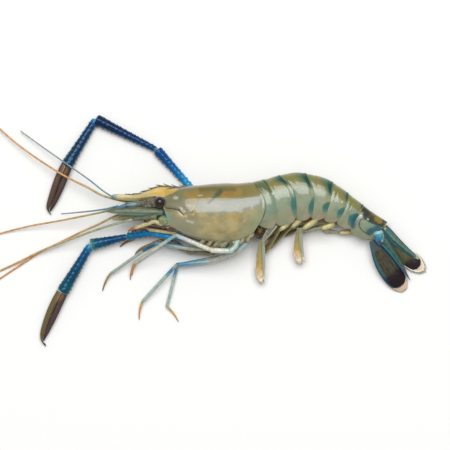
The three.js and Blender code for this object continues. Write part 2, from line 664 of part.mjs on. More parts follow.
for (const [side, arm] of Object.entries(ARMS)) {
  const joint = (base, segments) => jointsOf(base, segments).at(-1);
  const wrist = joint(arm.base, arm.merus);
  const elbow = joint(wrist, arm.carpus);
  const knuckles = joint(elbow, arm.palm);
  const palmHeading = arm.palm.at(-1)[1];

  const arms = { sides: CLAW_SIDES, flat: ARM_FLAT, dome: 0.2 };
  const merus = limb(arm.base, arm.merus, arms);
  const merusGrown = limb(arm.base, arm.merus, { ...arms, grow: JOINT_GAP });
  addPiece(`${side}_claw_merus`, cutBy(merus, carapaceGrown, thoraxGrown), COLOURS.arm, 0.25);

  const carpusStations = opened(limbStations(wrist, arm.carpus, ARM_FLAT));
  const carpus = ovalLoft(carpusStations, arms);
  const carpusGrown = ovalLoft(carpusStations, { ...arms, grow: JOINT_GAP });
  addPiece(`${side}_claw_carpus`, cutBy(carpus, merusGrown), COLOURS.arm, 0.25);

  const palmStations = opened(limbStations(elbow, arm.palm, ARM_FLAT));
  const fixedRoot = beside(knuckles, palmHeading, FINGER_SINK, -FINGER_SPREAD);
  const movableRoot = beside(knuckles, palmHeading, FINGER_SINK, FINGER_SPREAD);
  const fixed = limb(fixedRoot, arm.fixedFinger, { sides: CLAW_SIDES });
  const fixedGrown = limb(fixedRoot, arm.fixedFinger, { sides: CLAW_SIDES, grow: JOINT_GAP });
  const palm = ovalLoft(palmStations, arms);
  const palmGrown = ovalLoft(palmStations, { ...arms, grow: JOINT_GAP });
  addPiece(`${side}_claw_palm`, cutBy(palm.add(fixed), carpusGrown), COLOURS.arm, 0.25);
  const movable = limb(movableRoot, arm.movableFinger, { sides: CLAW_SIDES });
  addPiece(`${side}_claw_finger`, cutBy(movable, palmGrown, fixedGrown), COLOURS.claw, 0.35);
}

// Swimming legs under the tail rings: stalk and one flat blade each
const SWIMMER_FLAT = 0.45;
const SWIMMERS = {
  left_pleopod_1: [[-7, -17, 19], [
    [13.5, 237, 14, 1.8, 1.7], [14.5, 263, 9, 2.7, 3.2], [12.5, 271, 4, 3.3, 3], [3.5, 278, 3, 2.4, 1],
  ]],
  left_pleopod_2: [[6, -13, 18.5], [
    [12, 224, 16, 1.8, 1.7], [11.5, 237, 10, 2, 2], [6, 225, 6.5, 1.8, 0.8],
  ]],
  left_pleopod_3: [[13.5, -12, 17.5], [
    [10.5, 222, 13, 1.8, 1.7], [13, 221, 7.5, 2.1, 2.1], [8.5, 222, 4.5, 1.9, 0.8],
  ]],
  left_pleopod_4: [[23.5, -12, 17], [
    [13, 215, 14, 1.7, 1.6], [12.5, 263, 8, 2.7, 3.2], [10.5, 274, 4.4, 3.4, 3], [3, 290, 3, 2.4, 1],
  ]],
  left_pleopod_5: [[33.5, -14, 15], [
    [10.5, 204, 13, 1.6, 1.5], [10, 194, 9.5, 1.8, 1.7], [5.5, 207, 7, 1.5, 0.7],
  ]],
  right_pleopod_1: [[-6, -17, 9.5], [
    [12, 238, 6, 1.8, 1.7], [10, 248, 3.2, 2, 2.2], [7, 262, 1.8, 1.8, 0.8],
  ]],
  right_pleopod_2: [[10.5, -12, 9.5], [
    [12, 222, 6, 1.8, 1.7], [8, 218, 3.6, 2, 2], [5.5, 214, 2, 1.7, 0.8],
  ]],
  right_pleopod_3: [[23, -12, 9], [
    [12.5, 216, 5.5, 1.6, 1.5], [8, 208, 3.2, 1.8, 1.8], [5, 200, 2, 1.5, 0.8],
  ]],
  right_pleopod_4: [[34.5, -14, 8.5], [
    [10.5, 208, 5.5, 1.5, 1.4], [9, 196, 3.4, 1.7, 1.6], [5, 190, 2.2, 1.3, 0.7],
  ]],
  right_pleopod_5: [[47.5, -18, 7.5], [
    [9.5, 212, 5.5, 1.5, 1.5], [7, 180, 4, 1.7, 1.6], [5, 160, 3, 1.4, 0.7],
  ]],
};
for (const [name, [base, segments]] of Object.entries(SWIMMERS)) {
  const solid = limb(base, segments, { flat: SWIMMER_FLAT });
  addPiece(name, cutBy(solid, ...ringsGrown, carapaceGrown), COLOURS.swimmer, 0.5);
}

// Tail fan: telson, and for each side a stalk with an outer and an inner lobe
const TELSON_PROFILE = [[0, 3], [0.12, 3.6], [0.4, 2.9], [0.75, 1.7], [0.95, 0.9], [1, 0.4]];
const LOBE_PROFILE = [[0, 0.3], [0.1, 0.48], [0.35, 0.85], [0.6, 1], [0.82, 0.88], [0.94, 0.58], [1, 0.25]];
const FAN = {
  telson: {
    base: [70.5, -18.5, 9.5], segments: [[14, 316, 8], [17, 317, 5.2]], halfWidth: 1, thickness: 1.5,
  },
  left_uropod_stalk: {
    base: [63, -22.5, 14], segments: [[5.5, 283, 13.5], [4, 290, 12]], halfWidth: 2.4, thickness: 1.7,
  },
  left_uropod_outer: {
    base: [62.8, -29, 9.5], segments: [[18, 300, 7], [22, 306, 2.2]], halfWidth: 7.6, thickness: 0.8,
  },
  left_uropod_inner: {
    base: [66.5, -29.5, 11.6], segments: [[17, 312, 9], [16, 309, 4.4]], halfWidth: 3.4, thickness: 0.7,
  },
  right_uropod_stalk: {
    base: [69, -25.5, 4.6], segments: [[5, 300, 4.2], [4, 310, 3.8]], halfWidth: 2.3, thickness: 1.4,
  },
  right_uropod_outer: {
    base: [73.5, -27.5, 5.2], segments: [[15, 316, 4.4], [17, 322, 2.6]], halfWidth: 5.6, thickness: 0.8,
  },
  right_uropod_inner: {
    base: [73, -28.5, 2.6], segments: [[13, 315, 2], [15, 318, 1.2]], halfWidth: 4, thickness: 0.7,
  },
};
const STALK_PROFILE = [[0, 0.7], [0.2, 1], [0.8, 1], [1, 0.7]];

/** Profile of a tail piece, chosen by its name. */
function fanProfile(name) {
  if (name === 'telson') {
    return TELSON_PROFILE;
  }
  return name.endsWith('stalk') ? STALK_PROFILE : LOBE_PROFILE;
}

/** Solid of a tail piece. */
function fanSolid(name, grow = 0) {
  const { base, segments, halfWidth, thickness } = FAN[name];
  const widths = fanProfile(name).map(([t, share]) => [t, share * halfWidth]);
  return blade(base, segments, widths, thickness, grow);
}

const fanStalks = SIDES.map(([side]) => `${side}_uropod_stalk`);
for (const name of Object.keys(FAN)) {
  const stalks = fanStalks.includes(name) ? [] : fanStalks.map((stalk) => fanSolid(stalk, JOINT_GAP));
  addPiece(name, cutBy(fanSolid(name), ...ringsGrown, ...stalks), COLOURS.tail, 0.3);
}

export default prawn;
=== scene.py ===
"""Finished visual model of a whole raw river prawn that lies on its right side.

Lengths are millimetres in the model's own frame until a mesh is made. +X runs from the head to the
tail, +Y towards the back, and +Z up from the surface that the prawn lies on.
"""

from __future__ import annotations

import logging
import math
from collections.abc import Callable, Iterator, Sequence
from dataclasses import dataclass, field, replace
from enum import Enum

import bmesh
import bpy
import numpy as np
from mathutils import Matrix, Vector, noise

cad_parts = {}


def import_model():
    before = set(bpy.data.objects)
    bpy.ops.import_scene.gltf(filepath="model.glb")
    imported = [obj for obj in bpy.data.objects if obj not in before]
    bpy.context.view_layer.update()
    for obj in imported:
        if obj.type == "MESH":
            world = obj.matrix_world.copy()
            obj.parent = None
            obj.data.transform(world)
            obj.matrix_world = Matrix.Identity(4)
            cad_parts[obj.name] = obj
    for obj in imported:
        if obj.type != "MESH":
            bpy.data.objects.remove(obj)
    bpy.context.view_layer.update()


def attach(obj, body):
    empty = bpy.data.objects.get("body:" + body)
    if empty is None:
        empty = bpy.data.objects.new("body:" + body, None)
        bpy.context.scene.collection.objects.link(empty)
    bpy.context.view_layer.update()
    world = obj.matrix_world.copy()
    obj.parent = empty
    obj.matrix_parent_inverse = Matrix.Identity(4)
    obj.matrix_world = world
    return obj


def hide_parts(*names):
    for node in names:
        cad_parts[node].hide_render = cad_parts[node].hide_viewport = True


LOG = logging.getLogger("prawn")

MM = 0.001  # metres in a millimetre
SIDE_SIGNS = {"left": 1.0, "right": -1.0}  # the left flank faces up
FLOOR = 0.05  # the lowest that a thin piece may lie, just clear of the table
HEAD_HEIGHT = 20.0  # the head's centre plane above the table

Point = tuple[float, float, float]
Row = tuple[float, ...]
Chain = tuple[Point, tuple[Row, ...]]  # a base and its segments
Plan = tuple[tuple[float, float], ...]  # places seen from above
Ramp = tuple[tuple[float, str], ...]  # colours at shares of a limb's length
Array = np.ndarray
Tree = bpy.types.NodeTree
Socket = bpy.types.NodeSocket


# ---------------------------------------------------------------- small mathematics


def unit(vectors: Array) -> Array:
    """Scales vectors to a length of one."""
    return vectors / np.maximum(np.linalg.norm(vectors, axis=-1, keepdims=True), 1e-9)


def ease(low: float, high: float, value: Array) -> Array:
    """Smooth rise from 0 at low to 1 at high."""
    t = np.clip((value - low) / (high - low), 0.0, 1.0)
    return t * t * (3.0 - 2.0 * t)


def hump(centre: float, half: float, value: Array) -> Array:
    """Bell that is 1 at its centre and about a third half a width away."""
    return np.exp(-(((value - centre) / half) ** 2))


def sample_table(knots: Array, rows: Array, at: Array) -> Array:
    """Smooth cubic through the rows of a table, which runs straight on past its ends.

    Args:
        knots: rising distances, one for each row.
        rows: the table, one row of values for each knot.
        at: distances to sample at, of any shape.

    Returns:
        The values, with one more axis than the distances.
    """
    last = len(knots) - 1
    ends = np.arange(last + 1)
    before, after = np.maximum(ends - 1, 0), np.minimum(ends + 1, last)
    slopes = (rows[after] - rows[before]) / (knots[after] - knots[before])[:, None]
    inside = np.clip(at, knots[0], knots[-1])
    cell = np.clip(np.searchsorted(knots, inside, side="right") - 1, 0, last - 1)
    span = (knots[cell + 1] - knots[cell])[..., None]
    t = (inside - knots[cell])[..., None] / span
    rise = rows[cell + 1] - rows[cell]
    out, into = slopes[cell] * span, slopes[cell + 1] * span
    curve = (out + into - 2 * rise) * t**3 + (3 * rise - 2 * out - into) * t**2 + out * t
    over = (at - inside)[..., None] * np.where((at < inside)[..., None], slopes[0], slopes[-1])
    return rows[cell] + curve + over


def smooth_path(points: Sequence[Sequence[float]], count: int) -> Array:
    """Evenly spaced rows on a smooth curve through rows whose first three values are a point."""
    rows = np.asarray(points, float)
    steps = np.linalg.norm(np.diff(rows[:, :3], axis=0), axis=1)
    knots = np.concatenate([[0.0], np.cumsum(np.sqrt(steps))])
    fine = sample_table(knots, rows, np.linspace(0, knots[-1], 12 * count))
    run = np.concatenate([[0.0], np.cumsum(np.linalg.norm(np.diff(fine[:, :3], axis=0), axis=1))])
    even = np.linspace(0, run[-1], count)
    return np.stack([np.interp(even, run, column) for column in fine.T], axis=-1)


def joints_of(base: Point, segments: Sequence[Row]) -> Array:
    """Joints of a chain: a base point, then [length, heading in degrees, end height, ...]."""
    joints = [np.asarray(base, float)]
    for length, heading, height, *_ in segments:
        angle = math.radians(heading)
        x, y, _ = joints[-1]
        joints.append(np.array([x + length * math.cos(angle), y + length * math.sin(angle), height]))
    return np.array(joints)


def end_radius(row: Row) -> float:
    """Radius at the end of a segment, the same as at its start where its row gives only one."""
    return row[4] if len(row) > 4 else row[3]


def axes_along(path: Array) -> tuple[Array, Array, Array]:
    """Directions ahead, level to the left, and up, along the points of a path."""
    along = unit(np.gradient(path, axis=0))
    side = unit(np.stack([-along[:, 1], along[:, 0], np.zeros(len(along))], -1))
    return along, side, np.cross(along, side)


def ripple(points: Array, size: float, octaves: int = 2) -> Array:
    """Soft irregular unevenness, between about -1 and 1.

    Args:
        points: points in millimetres, in an array of any shape that ends in three.
        size: millimetres from one swell to the next.
        octaves: how many finer ripples are laid over the first.

    Returns:
        One value for each point.
    """
    flat = points.reshape(-1, 3) / size
    values = np.zeros(len(flat))
    for octave in range(octaves):
        scale = 2.0**octave
        values += [noise.noise(Vector(point * scale)) / scale for point in flat]
    return values.reshape(points.shape[:-1])


def stroke(places: Array, path: Plan, width: float) -> Array:
    """Soft brush stroke seen from above: 1 on the path, and fading over its width.

    Args:
        places: points in millimetres, of which x and y are used.
        path: corners of the stroke.
        width: millimetres from the middle of the stroke to where it has faded to about a third.

    Returns:
        One value for each point.
    """
    nearest = np.full(places.shape[:-1], np.inf)
    plan = places[..., :2]
    for start, end in zip(path[:-1], path[1:]):
        a, b = np.asarray(start, float), np.asarray(end, float)
        along = b - a
        t = np.clip(((plan - a) @ along) / max(along @ along, 1e-9), 0.0, 1.0)
        nearest = np.minimum(nearest, np.linalg.norm(plan - a - t[..., None] * along, axis=-1))
    return np.exp(-((nearest / width) ** 2))


def dots(places: Array, spots: Plan, width: float) -> Array:
    """Soft round dots seen from above: 1 in the middle, and about a third one width away."""
    return np.max([np.zeros(places.shape[:-1]), *(stroke(places, (spot, spot), width) for spot in spots)], axis=0)


def roughened(grid: Array, centres: Array, depth: float, size: float) -> Array:
    """Rows of points, moved out from their centres by swells of a depth and a size in millimetres."""
    return grid + unit(grid - centres) * (depth * ripple(grid, size))[..., None]


# ---------------------------------------------------------------- finishes


def linear(colour: str) -> tuple[float, ...]:
    """Linear colour of an sRGB hex value."""
    parts = [int(colour.lstrip("#")[i : i + 2], 16) / 255 for i in (0, 2, 4)]
    red, green, blue = (c / 12.92 if c <= 0.04045 else ((c + 0.055) / 1.055) ** 2.4 for c in parts)
    return red, green, blue, 1.0


def add_node(tree: Tree, kind: str, sockets: dict[str | int, object] | None = None,
    stops: Sequence[tuple[float, str]] = (), **settings: object) -> bpy.types.Node:
    """Adds one node.

    Args:
        tree: the material's nodes.
        kind: the node's type.
        sockets: what each input holds, either a value or the output that feeds it.
        stops: places and colours of its colour ramp.
        settings: the node's own properties.

    Returns:
        The new node.
    """
    node = tree.nodes.new(kind)
    for name, value in settings.items():
        setattr(node, name, value)
    for name, value in (sockets or {}).items():
        if isinstance(value, Socket):
            tree.links.new(value, node.inputs[name])
        else:
            node.inputs[name].default_value = value
    for i, (place, colour) in enumerate(stops):
        elements = node.color_ramp.elements
        element = elements[i] if i < len(elements) else elements.new(place)
        element.position, element.color = place, linear(colour)
    return node


MIX_FACTOR, MIX_A, MIX_B, MIX_RESULT = 0, 6, 7, 2  # sockets of a colour mix


@dataclass(frozen=True)
class Layer:
    """A colour laid over a cuticle wherever a painted mask says so.

    Attributes:
        mask: name of the painted mask.
        colour: sRGB hex value.
        fray: how far the grain eats into the mask's edge, from 0 to 0.6.
        grain: millimetres from one fray to the next.
        strength: how much of the colour shows where the mask is full.
        soft: half of the span of mask values over which the colour comes in.
    """

    mask: str
    colour: str
    fray: float = 0.45
    grain: float = 2.0
    strength: float = 1.0
    soft: float = 0.25


@dataclass(frozen=True)
class Cuticle:
    """Wet chitin: a thin, hard, slightly clear skin over pigment, with a film of water on it.

    The pigment lies in mottled patches under the surface, so the colour is uneven and soft-edged, and
    the film of water gives sharp highlights over it.

    Attributes:
        name: the material's name.
        tones: mottled pigment from its darkest to its lightest.
        ramp: colours along a limb, which take the place of the tones where it is given.
        layers: painted colours from the lowest to the highest.
        mottle: millimetres from one mottle to the next.
        roughness: of the cuticle itself.
        film: weight of the film of water.
        film_roughness: roughness of the film of water.
        glow: how much light the flesh under the skin lets through.
        pit: millimetres from one pit of the surface to the next.
        pit_depth: depth of the pits in millimetres.
        gloss: how strongly the cuticle itself reflects, 0.5 for plain chitin.
        tint: colour of what the cuticle itself reflects.
    """

    name: str
    tones: tuple[str, ...] = ("#7d7a55", "#9a9468")
    ramp: Ramp = ()
    layers: tuple[Layer, ...] = ()
    mottle: float = 4.0
    roughness: float = 0.36
    film: float = 0.6
    film_roughness: float = 0.09
    glow: float = 0.12
    pit: float = 0.7
    pit_depth: float = 0.03
    gloss: float = 0.4
    tint: str = "#ffffff"

    def material(self) -> bpy.types.Material:
        """Returns the material, which is made once."""
        known = bpy.data.materials.get(self.name)
        if known:
            return known
        material = bpy.data.materials.new(self.name)
        material.use_nodes = True
        tree = material.node_tree
        tree.nodes.clear()
        place = add_node(tree, "ShaderNodeTexCoord").outputs["Object"]
        colour = self._pigment(tree, place)
        for layer in self.layers:
            colour = self._laid_over(tree, place, colour, layer)
        shader = add_node(tree, "ShaderNodeBsdfPrincipled", {"Base Color": colour, "Roughness": self.roughness,
            "IOR": 1.5, "Specular IOR Level": self.gloss, "Specular Tint": linear(self.tint),
            "Normal": self._pitted(tree, place), "Subsurface Weight": self.glow, "Subsurface Radius": (1.0, 0.7, 0.4),
            "Subsurface Scale": 1.6 * MM, "Coat Weight": self.film, "Coat Roughness": self.film_roughness,
            "Coat IOR": 1.45})
        add_node(tree, "ShaderNodeOutputMaterial", {"Surface": shader.outputs["BSDF"]})
        return material

    def _pigment(self, tree: Tree, place: Socket) -> Socket:
        """Adds the mottled pigment.

        Args:
            tree: the material's nodes.
            place: coordinates on the object.

        Returns:
            The colour.
        """
        mottle = add_node(tree, "ShaderNodeTexNoise", {"Vector": place, "Scale": 1 / (self.mottle * MM),
            "Detail": 4.0, "Roughness": 0.62}).outputs["Fac"]
        if not self.ramp:
            spread = [0.36 + 0.28 * i / max(len(self.tones) - 1, 1) for i in range(len(self.tones))]
            return add_node(tree, "ShaderNodeValToRGB", {"Fac": mottle},
                stops=list(zip(spread, self.tones))).outputs["Color"]
        along = add_node(tree, "ShaderNodeAttribute", attribute_name="along").outputs["Fac"]
        drift = add_node(tree, "ShaderNodeMath", {0: mottle, 1: 0.05, 2: along}, operation="MULTIPLY_ADD").outputs[0]
        steady = add_node(tree, "ShaderNodeMath", {0: drift, 1: 0.025}, operation="SUBTRACT").outputs[0]
        base = add_node(tree, "ShaderNodeValToRGB", {"Fac": steady}, stops=self.ramp).outputs["Color"]
        shade = add_node(tree, "ShaderNodeValToRGB", {"Fac": mottle},
            stops=((0.35, "#c4c2bc"), (0.62, "#ffffff"))).outputs["Color"]
        return add_node(tree, "ShaderNodeMix", {MIX_FACTOR: 0.8, MIX_A: base, MIX_B: shade}, data_type="RGBA",
            blend_type="MULTIPLY").outputs[MIX_RESULT]

    def _laid_over(self, tree: Tree, place: Socket, under: Socket, layer: Layer) -> Socket:
        """Lays a painted colour over the ones below it.

        Args:
            tree: the material's nodes.
            place: coordinates on the object.
            under: the colour below.
            layer: what is painted.

        Returns:
            The colour with the layer on it.
        """
        mask = add_node(tree, "ShaderNodeAttribute", attribute_name=layer.mask).outputs["Fac"]
        grain = add_node(tree, "ShaderNodeTexNoise", {"Vector": place, "Scale": 1 / (layer.grain * MM),
            "Detail": 3.0}).outputs["Fac"]
        centred = add_node(tree, "ShaderNodeMath", {0: grain, 1: 0.5}, operation="SUBTRACT").outputs[0]
        frayed = add_node(tree, "ShaderNodeMath", {0: centred, 1: 2 * layer.fray, 2: mask},
            operation="MULTIPLY_ADD").outputs[0]
        cover = add_node(tree, "ShaderNodeMapRange", {"Value": frayed, "From Min": 0.5 - layer.soft,
            "From Max": 0.5 + layer.soft, "To Min": 0.0, "To Max": layer.strength}, interpolation_type="SMOOTHSTEP",
            ).outputs["Result"]
        return add_node(tree, "ShaderNodeMix", {MIX_FACTOR: cover, MIX_A: under, MIX_B: linear(layer.colour)},
            data_type="RGBA").outputs[MIX_RESULT]

    def _pitted(self, tree: Tree, place: Socket) -> Socket:
        """Adds the fine pits of the skin.

        Args:
            tree: the material's nodes.
            place: coordinates on the object.

        Returns:
            The bumped normal.
        """
        pits = add_node(tree, "ShaderNodeTexNoise", {"Vector": place, "Scale": 1 / (self.pit * MM),
            "Detail": 2.0}).outputs["Fac"]
        return add_node(tree, "ShaderNodeBump", {"Height": pits, "Distance": self.pit_depth * MM,
            "Strength": 1.0}).outputs["Normal"]


# ---------------------------------------------------------------- meshes


class Shape:
    """Points, faces and painted masks of one piece, gathered part by part."""

    def __init__(self) -> None:
        """Starts with nothing."""
        self.count = 0
        self.points: list[Array] = []
        self.faces: list[list[int]] = []
        self.masks: dict[str, list[Array]] = {}
        self.wears = 0  # which of the piece's finishes the next faces wear
        self.worn: list[int] = []

    def add(self, points: Array, faces: list[list[int]], masks: dict[str, Array]) -> None:
        """Adds points in millimetres, faces that count from their first, and a mask value for each."""
        for name in self.masks.keys() | masks.keys():
            values = masks.get(name, np.zeros(len(points)))
            self.masks.setdefault(name, [np.zeros(self.count)]).append(values)
        self.points.append(points)
        self.faces += [[self.count + i for i in face] for face in faces]
        self.worn += [self.wears] * len(faces)
        self.count += len(points)

    def skin(self, grid: Array, **masks: Array | float) -> None:
        """Adds a closed skin through rows of points, with a fan over each end.

        Args:
            grid: rows of points round the skin.
            masks: painted masks, each one value or one for each point.
        """
        rows, around, _ = grid.shape
        ends = [grid[0].mean(0)[None], grid[-1].mean(0)[None]]
        index = np.arange(rows * around).reshape(rows, around)
        ahead = np.roll(index, -1, axis=1)
        quads = np.stack([index[:-1], ahead[:-1], ahead[1:], index[1:]], -1).reshape(-1, 4)
        first, last = rows * around, rows * around + 1
        fans = [[first, b, a] for a, b in zip(index[0], ahead[0])]
        fans += [[last, a, b] for a, b in zip(index[-1], ahead[-1])]
        spread = {}
        for name, values in masks.items():
            full = np.broadcast_to(np.asarray(values, float), (rows, around))
            spread[name] = np.concatenate([full.ravel(), [full[0].mean(), full[-1].mean()]])
        self.add(np.concatenate([grid.reshape(-1, 3), *ends]), quads.tolist() + fans, spread)

    def spikes(self, roots: Array, tips: Array, radius: float, sides: int = 4, **masks: float) -> None:
        """Adds one closed cone for each root and tip.

        Args:
            roots: middles of the cones' feet.
            tips: their points.
            radius: of each foot.
            sides: facets of each cone.
            masks: painted masks, one value each.
        """
        line = unit(tips - roots)
        helper = np.where(np.abs(line[:, 2:3]) > 0.8, [[1.0, 0.0, 0.0]], [[0.0, 0.0, 1.0]])
        across = unit(np.cross(line, helper))
        upright = np.cross(line, across)
        turn = 2 * np.pi * np.arange(sides) / sides
        ring = across[:, None] * np.cos(turn)[:, None] + upright[:, None] * np.sin(turn)[:, None]
        points = np.concatenate([roots[:, None] + radius * ring, tips[:, None]], axis=1)
        size = sides + 1
        faces = []
        for start in range(0, size * len(roots), size):
            foot = list(range(start, start + sides))
            faces.append(foot[::-1])
            faces += [[a, b, start + sides] for a, b in zip(foot, foot[1:] + foot[:1])]
        flat = points.reshape(-1, 3)
        self.add(flat, faces, {name: np.full(len(flat), float(v)) for name, v in masks.items()})

    def build(self, name: str, slot: str, finish: Cuticle | tuple[Cuticle, ...], *nodes: str) -> bpy.types.Object:
        """Makes the piece, dresses it, and lets it ride with the body.

        Args:
            name: the piece's name.
            slot: the record's material slot; not used.
            finish: its cuticle, or all of its cuticles.
            nodes: solids that it stands for.

        Returns:
            The new object.
        """
        mesh = bpy.data.meshes.new(name)
        mesh.from_pydata((np.concatenate(self.points) * MM).tolist(), [], self.faces)
        for mask, parts in self.masks.items():
            values = np.concatenate(parts).astype(np.float32)
            mesh.attributes.new(mask, "FLOAT", "POINT").data.foreach_set("value", values)
        work = bmesh.new()
        work.from_mesh(mesh)
        bmesh.ops.recalc_face_normals(work, faces=work.faces[:])
        work.to_mesh(mesh)
        work.free()
        mesh.shade_smooth()
        for cuticle in finish if isinstance(finish, tuple) else (finish,):
            mesh.materials.append(cuticle.material())
        mesh.polygons.foreach_set("material_index", self.worn)
        piece = bpy.data.objects.new(name, mesh)
        bpy.context.scene.collection.objects.link(piece)
        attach(piece, "root")
        if nodes:
            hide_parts(*nodes)
        LOG.info("%s: %d faces", name, len(mesh.polygons))
        return piece


# ---------------------------------------------------------------- body


@dataclass(frozen=True)
class Section:
    """Cross-section of a plate, as shares of the body's half depth and half width.

    Attributes:
        roundness: how full the flanks are, fuller where it is less.
        tuck: how far the flanks turn in at the belly.
        end: degrees round from the back at which the side plates end, or 180 for a closed shell.
        around: points round the section.
    """

    roundness: float
    tuck: float
    end: float
    around: int

    def loop(self) -> tuple[Array, Array, Array]:
        """Returns the angle, the share towards the back and the share to the left of each point."""
        closed = self.end >= 180.0
        limit = math.radians(self.end)
        angle = np.linspace(-limit, limit, self.around, endpoint=not closed)
        up = np.cos(angle)
        if not closed:
            up = np.where(up < 0, up / abs(math.cos(limit)), up)
        low = (1 - np.cos(angle)) / 2
        sine = np.sin(angle)
        side = np.sign(sine) * np.abs(sine) ** self.roundness * (1 - self.tuck * low**2)
        if closed:
            return angle, up, side
        inner = np.linspace(1, -1, 11)[1:-1]
        hollow = -1.0 + 0.3 * (1 - inner**2)
        return (np.concatenate([angle, np.full(len(inner), math.pi)]), np.concatenate([up, hollow]),
            np.concatenate([side, inner * side[-1]]))


@dataclass(frozen=True)
class Body:
    """The bent body that the head shield and the tail rings are slices of.

    Attributes:
        spine: rows of [along, across, height, half depth, half width].
        gap: between neighbouring plates.
    """

    spine: tuple[Row, ...] = ((-87, -5.5, 20, 12.6, 6.2), (-75.5, -6.5, 20.6, 15, 10.0),
        (-63.5, -7.9, 20.8, 18.1, 12.8), (-49.5, -9, 20.2, 20.6, 15.6), (-37, -9, 18.6, 21, 15.8),
        (-24, -6.5, 16.4, 18.9, 15.2), (-7, -2, 13.2, 17.5, 14.5), (8, 2, 12.5, 17.4, 13.8),
        (23.5, 1, 11.8, 15.7, 12.4), (35.5, -3.5, 11, 13.1, 10.8), (45, -8.5, 9.6, 11, 9.2),
        (57, -16.6, 8.2, 10.1, 7.8), (67.5, -21.6, 7.2, 8.4, 6.4))
    gap: float = 0.5

    def frame(self, at: Array) -> tuple[Array, ...]:
        """Body's centre and axes at distances along the spine.

        Args:
            at: distances in millimetres, of any shape.

        Returns:
            The centre, the directions of the back and of the left flank, half depth and half width.
        """
        rows = np.asarray(self.spine, float)
        steps = np.linalg.norm(np.diff(rows[:, :2], axis=0), axis=1)
        knots = np.concatenate([[0.0], np.cumsum(steps)])
        here = sample_table(knots, rows, np.asarray(at, float))
        ahead = sample_table(knots, rows, np.asarray(at, float) + 0.5)
        along = unit(ahead[..., :3] - here[..., :3])
        back = unit(np.stack([-along[..., 1], along[..., 0], np.zeros_like(along[..., 0])], -1))
        return here[..., :3], back, np.cross(along, back), here[..., 3], here[..., 4]

    def place(self, at: float, up: float, side: float) -> Array:
        """Point at a distance along the spine and offsets towards the back and the left flank."""
        centre, back, flank, _, _ = self.frame(np.array(at))
        return centre + back * up + flank * side


def edge_at(edge: Row, angle: Array) -> Array:
    """Distance along the spine of a plate's edge, given at its back, flank and belly."""
    at_back, at_flank, at_belly = edge
    c = np.cos(angle)
    return at_flank + (at_back - at_belly) / 2 * c + ((at_back + at_belly) / 2 - at_flank) * c * c


@dataclass
class PlateSurface:
    """Where every point of a plate lies in the plate's own terms.

    Attributes:
        t: from the front edge, 0, to the rear edge, 1.
        to_rear: millimetres to the rear edge.
        to_front: millimetres from the front edge.
        angle: degrees round from the back, on either flank.
        up: share of the half depth, from the belly, -1, to the back, 1.
        points: the points, before any relief.
    """

    t: Array
    to_rear: Array
    to_front: Array
    angle: Array
    up: Array
    points: Array


Relief = Callable[[PlateSurface], Array]


@dataclass(frozen=True)
class Plate:
    """One plate of the shell: a slice of the body with a rounded rear lip.

    Attributes:
        front: its front edge, as distances at the back, the flank and the belly.
        rear: its rear edge.
        section: its cross-section.
        rows: rows of points along it.
        tuck: how far its front runs on under the plate before it.
        lip: how far its rear lip runs on over the plate behind it.
        rim: radius of the rounding of the rear lip.
        scallop: how far the lower corners are cut up, as a share of the half depth.
        nose: how much further the front one is cut up.
        step: how much lower it starts than the lip that covers it, as a share.
    """

    front: Row
    rear: Row
    section: Section
    rows: int
    tuck: float = 0.0
    lip: float = 0.5
    rim: float = 0.4
    scallop: float = 0.0
    nose: float = 0.0
    step: float = 0.038

    def surface(self, body: Body, relief: Relief) -> tuple[Array, PlateSurface]:
        """Works out the plate's skin.

        Args:
            body: the body that the plate is a slice of.
            relief: millimetres that each point stands out.

        Returns:
            The rows of points, and where each lies on the plate.
        """
        angle, up, side = self.section.loop()
        start = edge_at(self.front, angle) + body.gap / 2
        end = edge_at(self.rear, angle) - body.gap / 2
        t = np.linspace(0, 1, self.rows)[:, None]
        distance = start + (end + self.lip - start) * t
        sunk = np.zeros((self.rows, 1))
        bend = np.radians([35.0, 65.0, 90.0])[:, None]
        rounding = [end + self.lip + self.rim * np.sin(bend), end + 0 * bend - 1.2]
        distance = np.concatenate([start[None] - self.tuck, distance, *rounding[:1], rounding[1][:1]])
        sunk = np.concatenate([[[0.3]], sunk, self.rim * (1 - np.cos(bend)), [[3 * self.rim]]])
        t = np.concatenate([[[0.0]], t, np.ones((4, 1))])
        centre, back, flank, depth, width = body.frame(distance)
        lip = 1 - self.step * (1 - np.sqrt(t))
        lip = lip * np.ones_like(angle)
        corner = 1 - self.scallop * ease(-0.55, -0.97, up) * np.abs(2 * t - 1) ** 3
        corner = corner - self.nose * ease(-0.4, -0.97, up) * (1 - np.minimum(t, 1.0)) ** 2
        outward = unit(back * up[:, None] + flank * side[:, None])
        tall, wide = up * depth * lip * corner, side * width * lip
        points = centre + back * tall[..., None] + flank * wide[..., None] - outward * sunk[..., None]
        where = PlateSurface(t=np.clip((distance - start) / (end - start), 0, 1.2), to_rear=end + self.lip - distance,
            to_front=distance - start, angle=np.abs(np.degrees(angle)) * np.ones_like(distance),
            up=up * np.ones_like(distance), points=points)
        points = points + outward * relief(where)[..., None]
        points[..., 2] = np.maximum(points[..., 2], 0.0)
        return points, where


# Edges between the plates, as distances along the spine at the back, the flank and the belly
SHIELD_FRONT = (-3.5, 3.5, 7.5)
SHIELD_REAR = (67.5, 72, 56.6)
PLATE_EDGES: tuple[Row, ...] = ((67.5, 72, 61.4), (77.6, 80.3, 76.5), (90, 95.8, 93.4), (103, 108.8, 109),
    (117.8, 120.3, 121.4), (129.3, 131.3, 130.6), (141.6, 142, 142.9), (163.8, 161, 158.8))

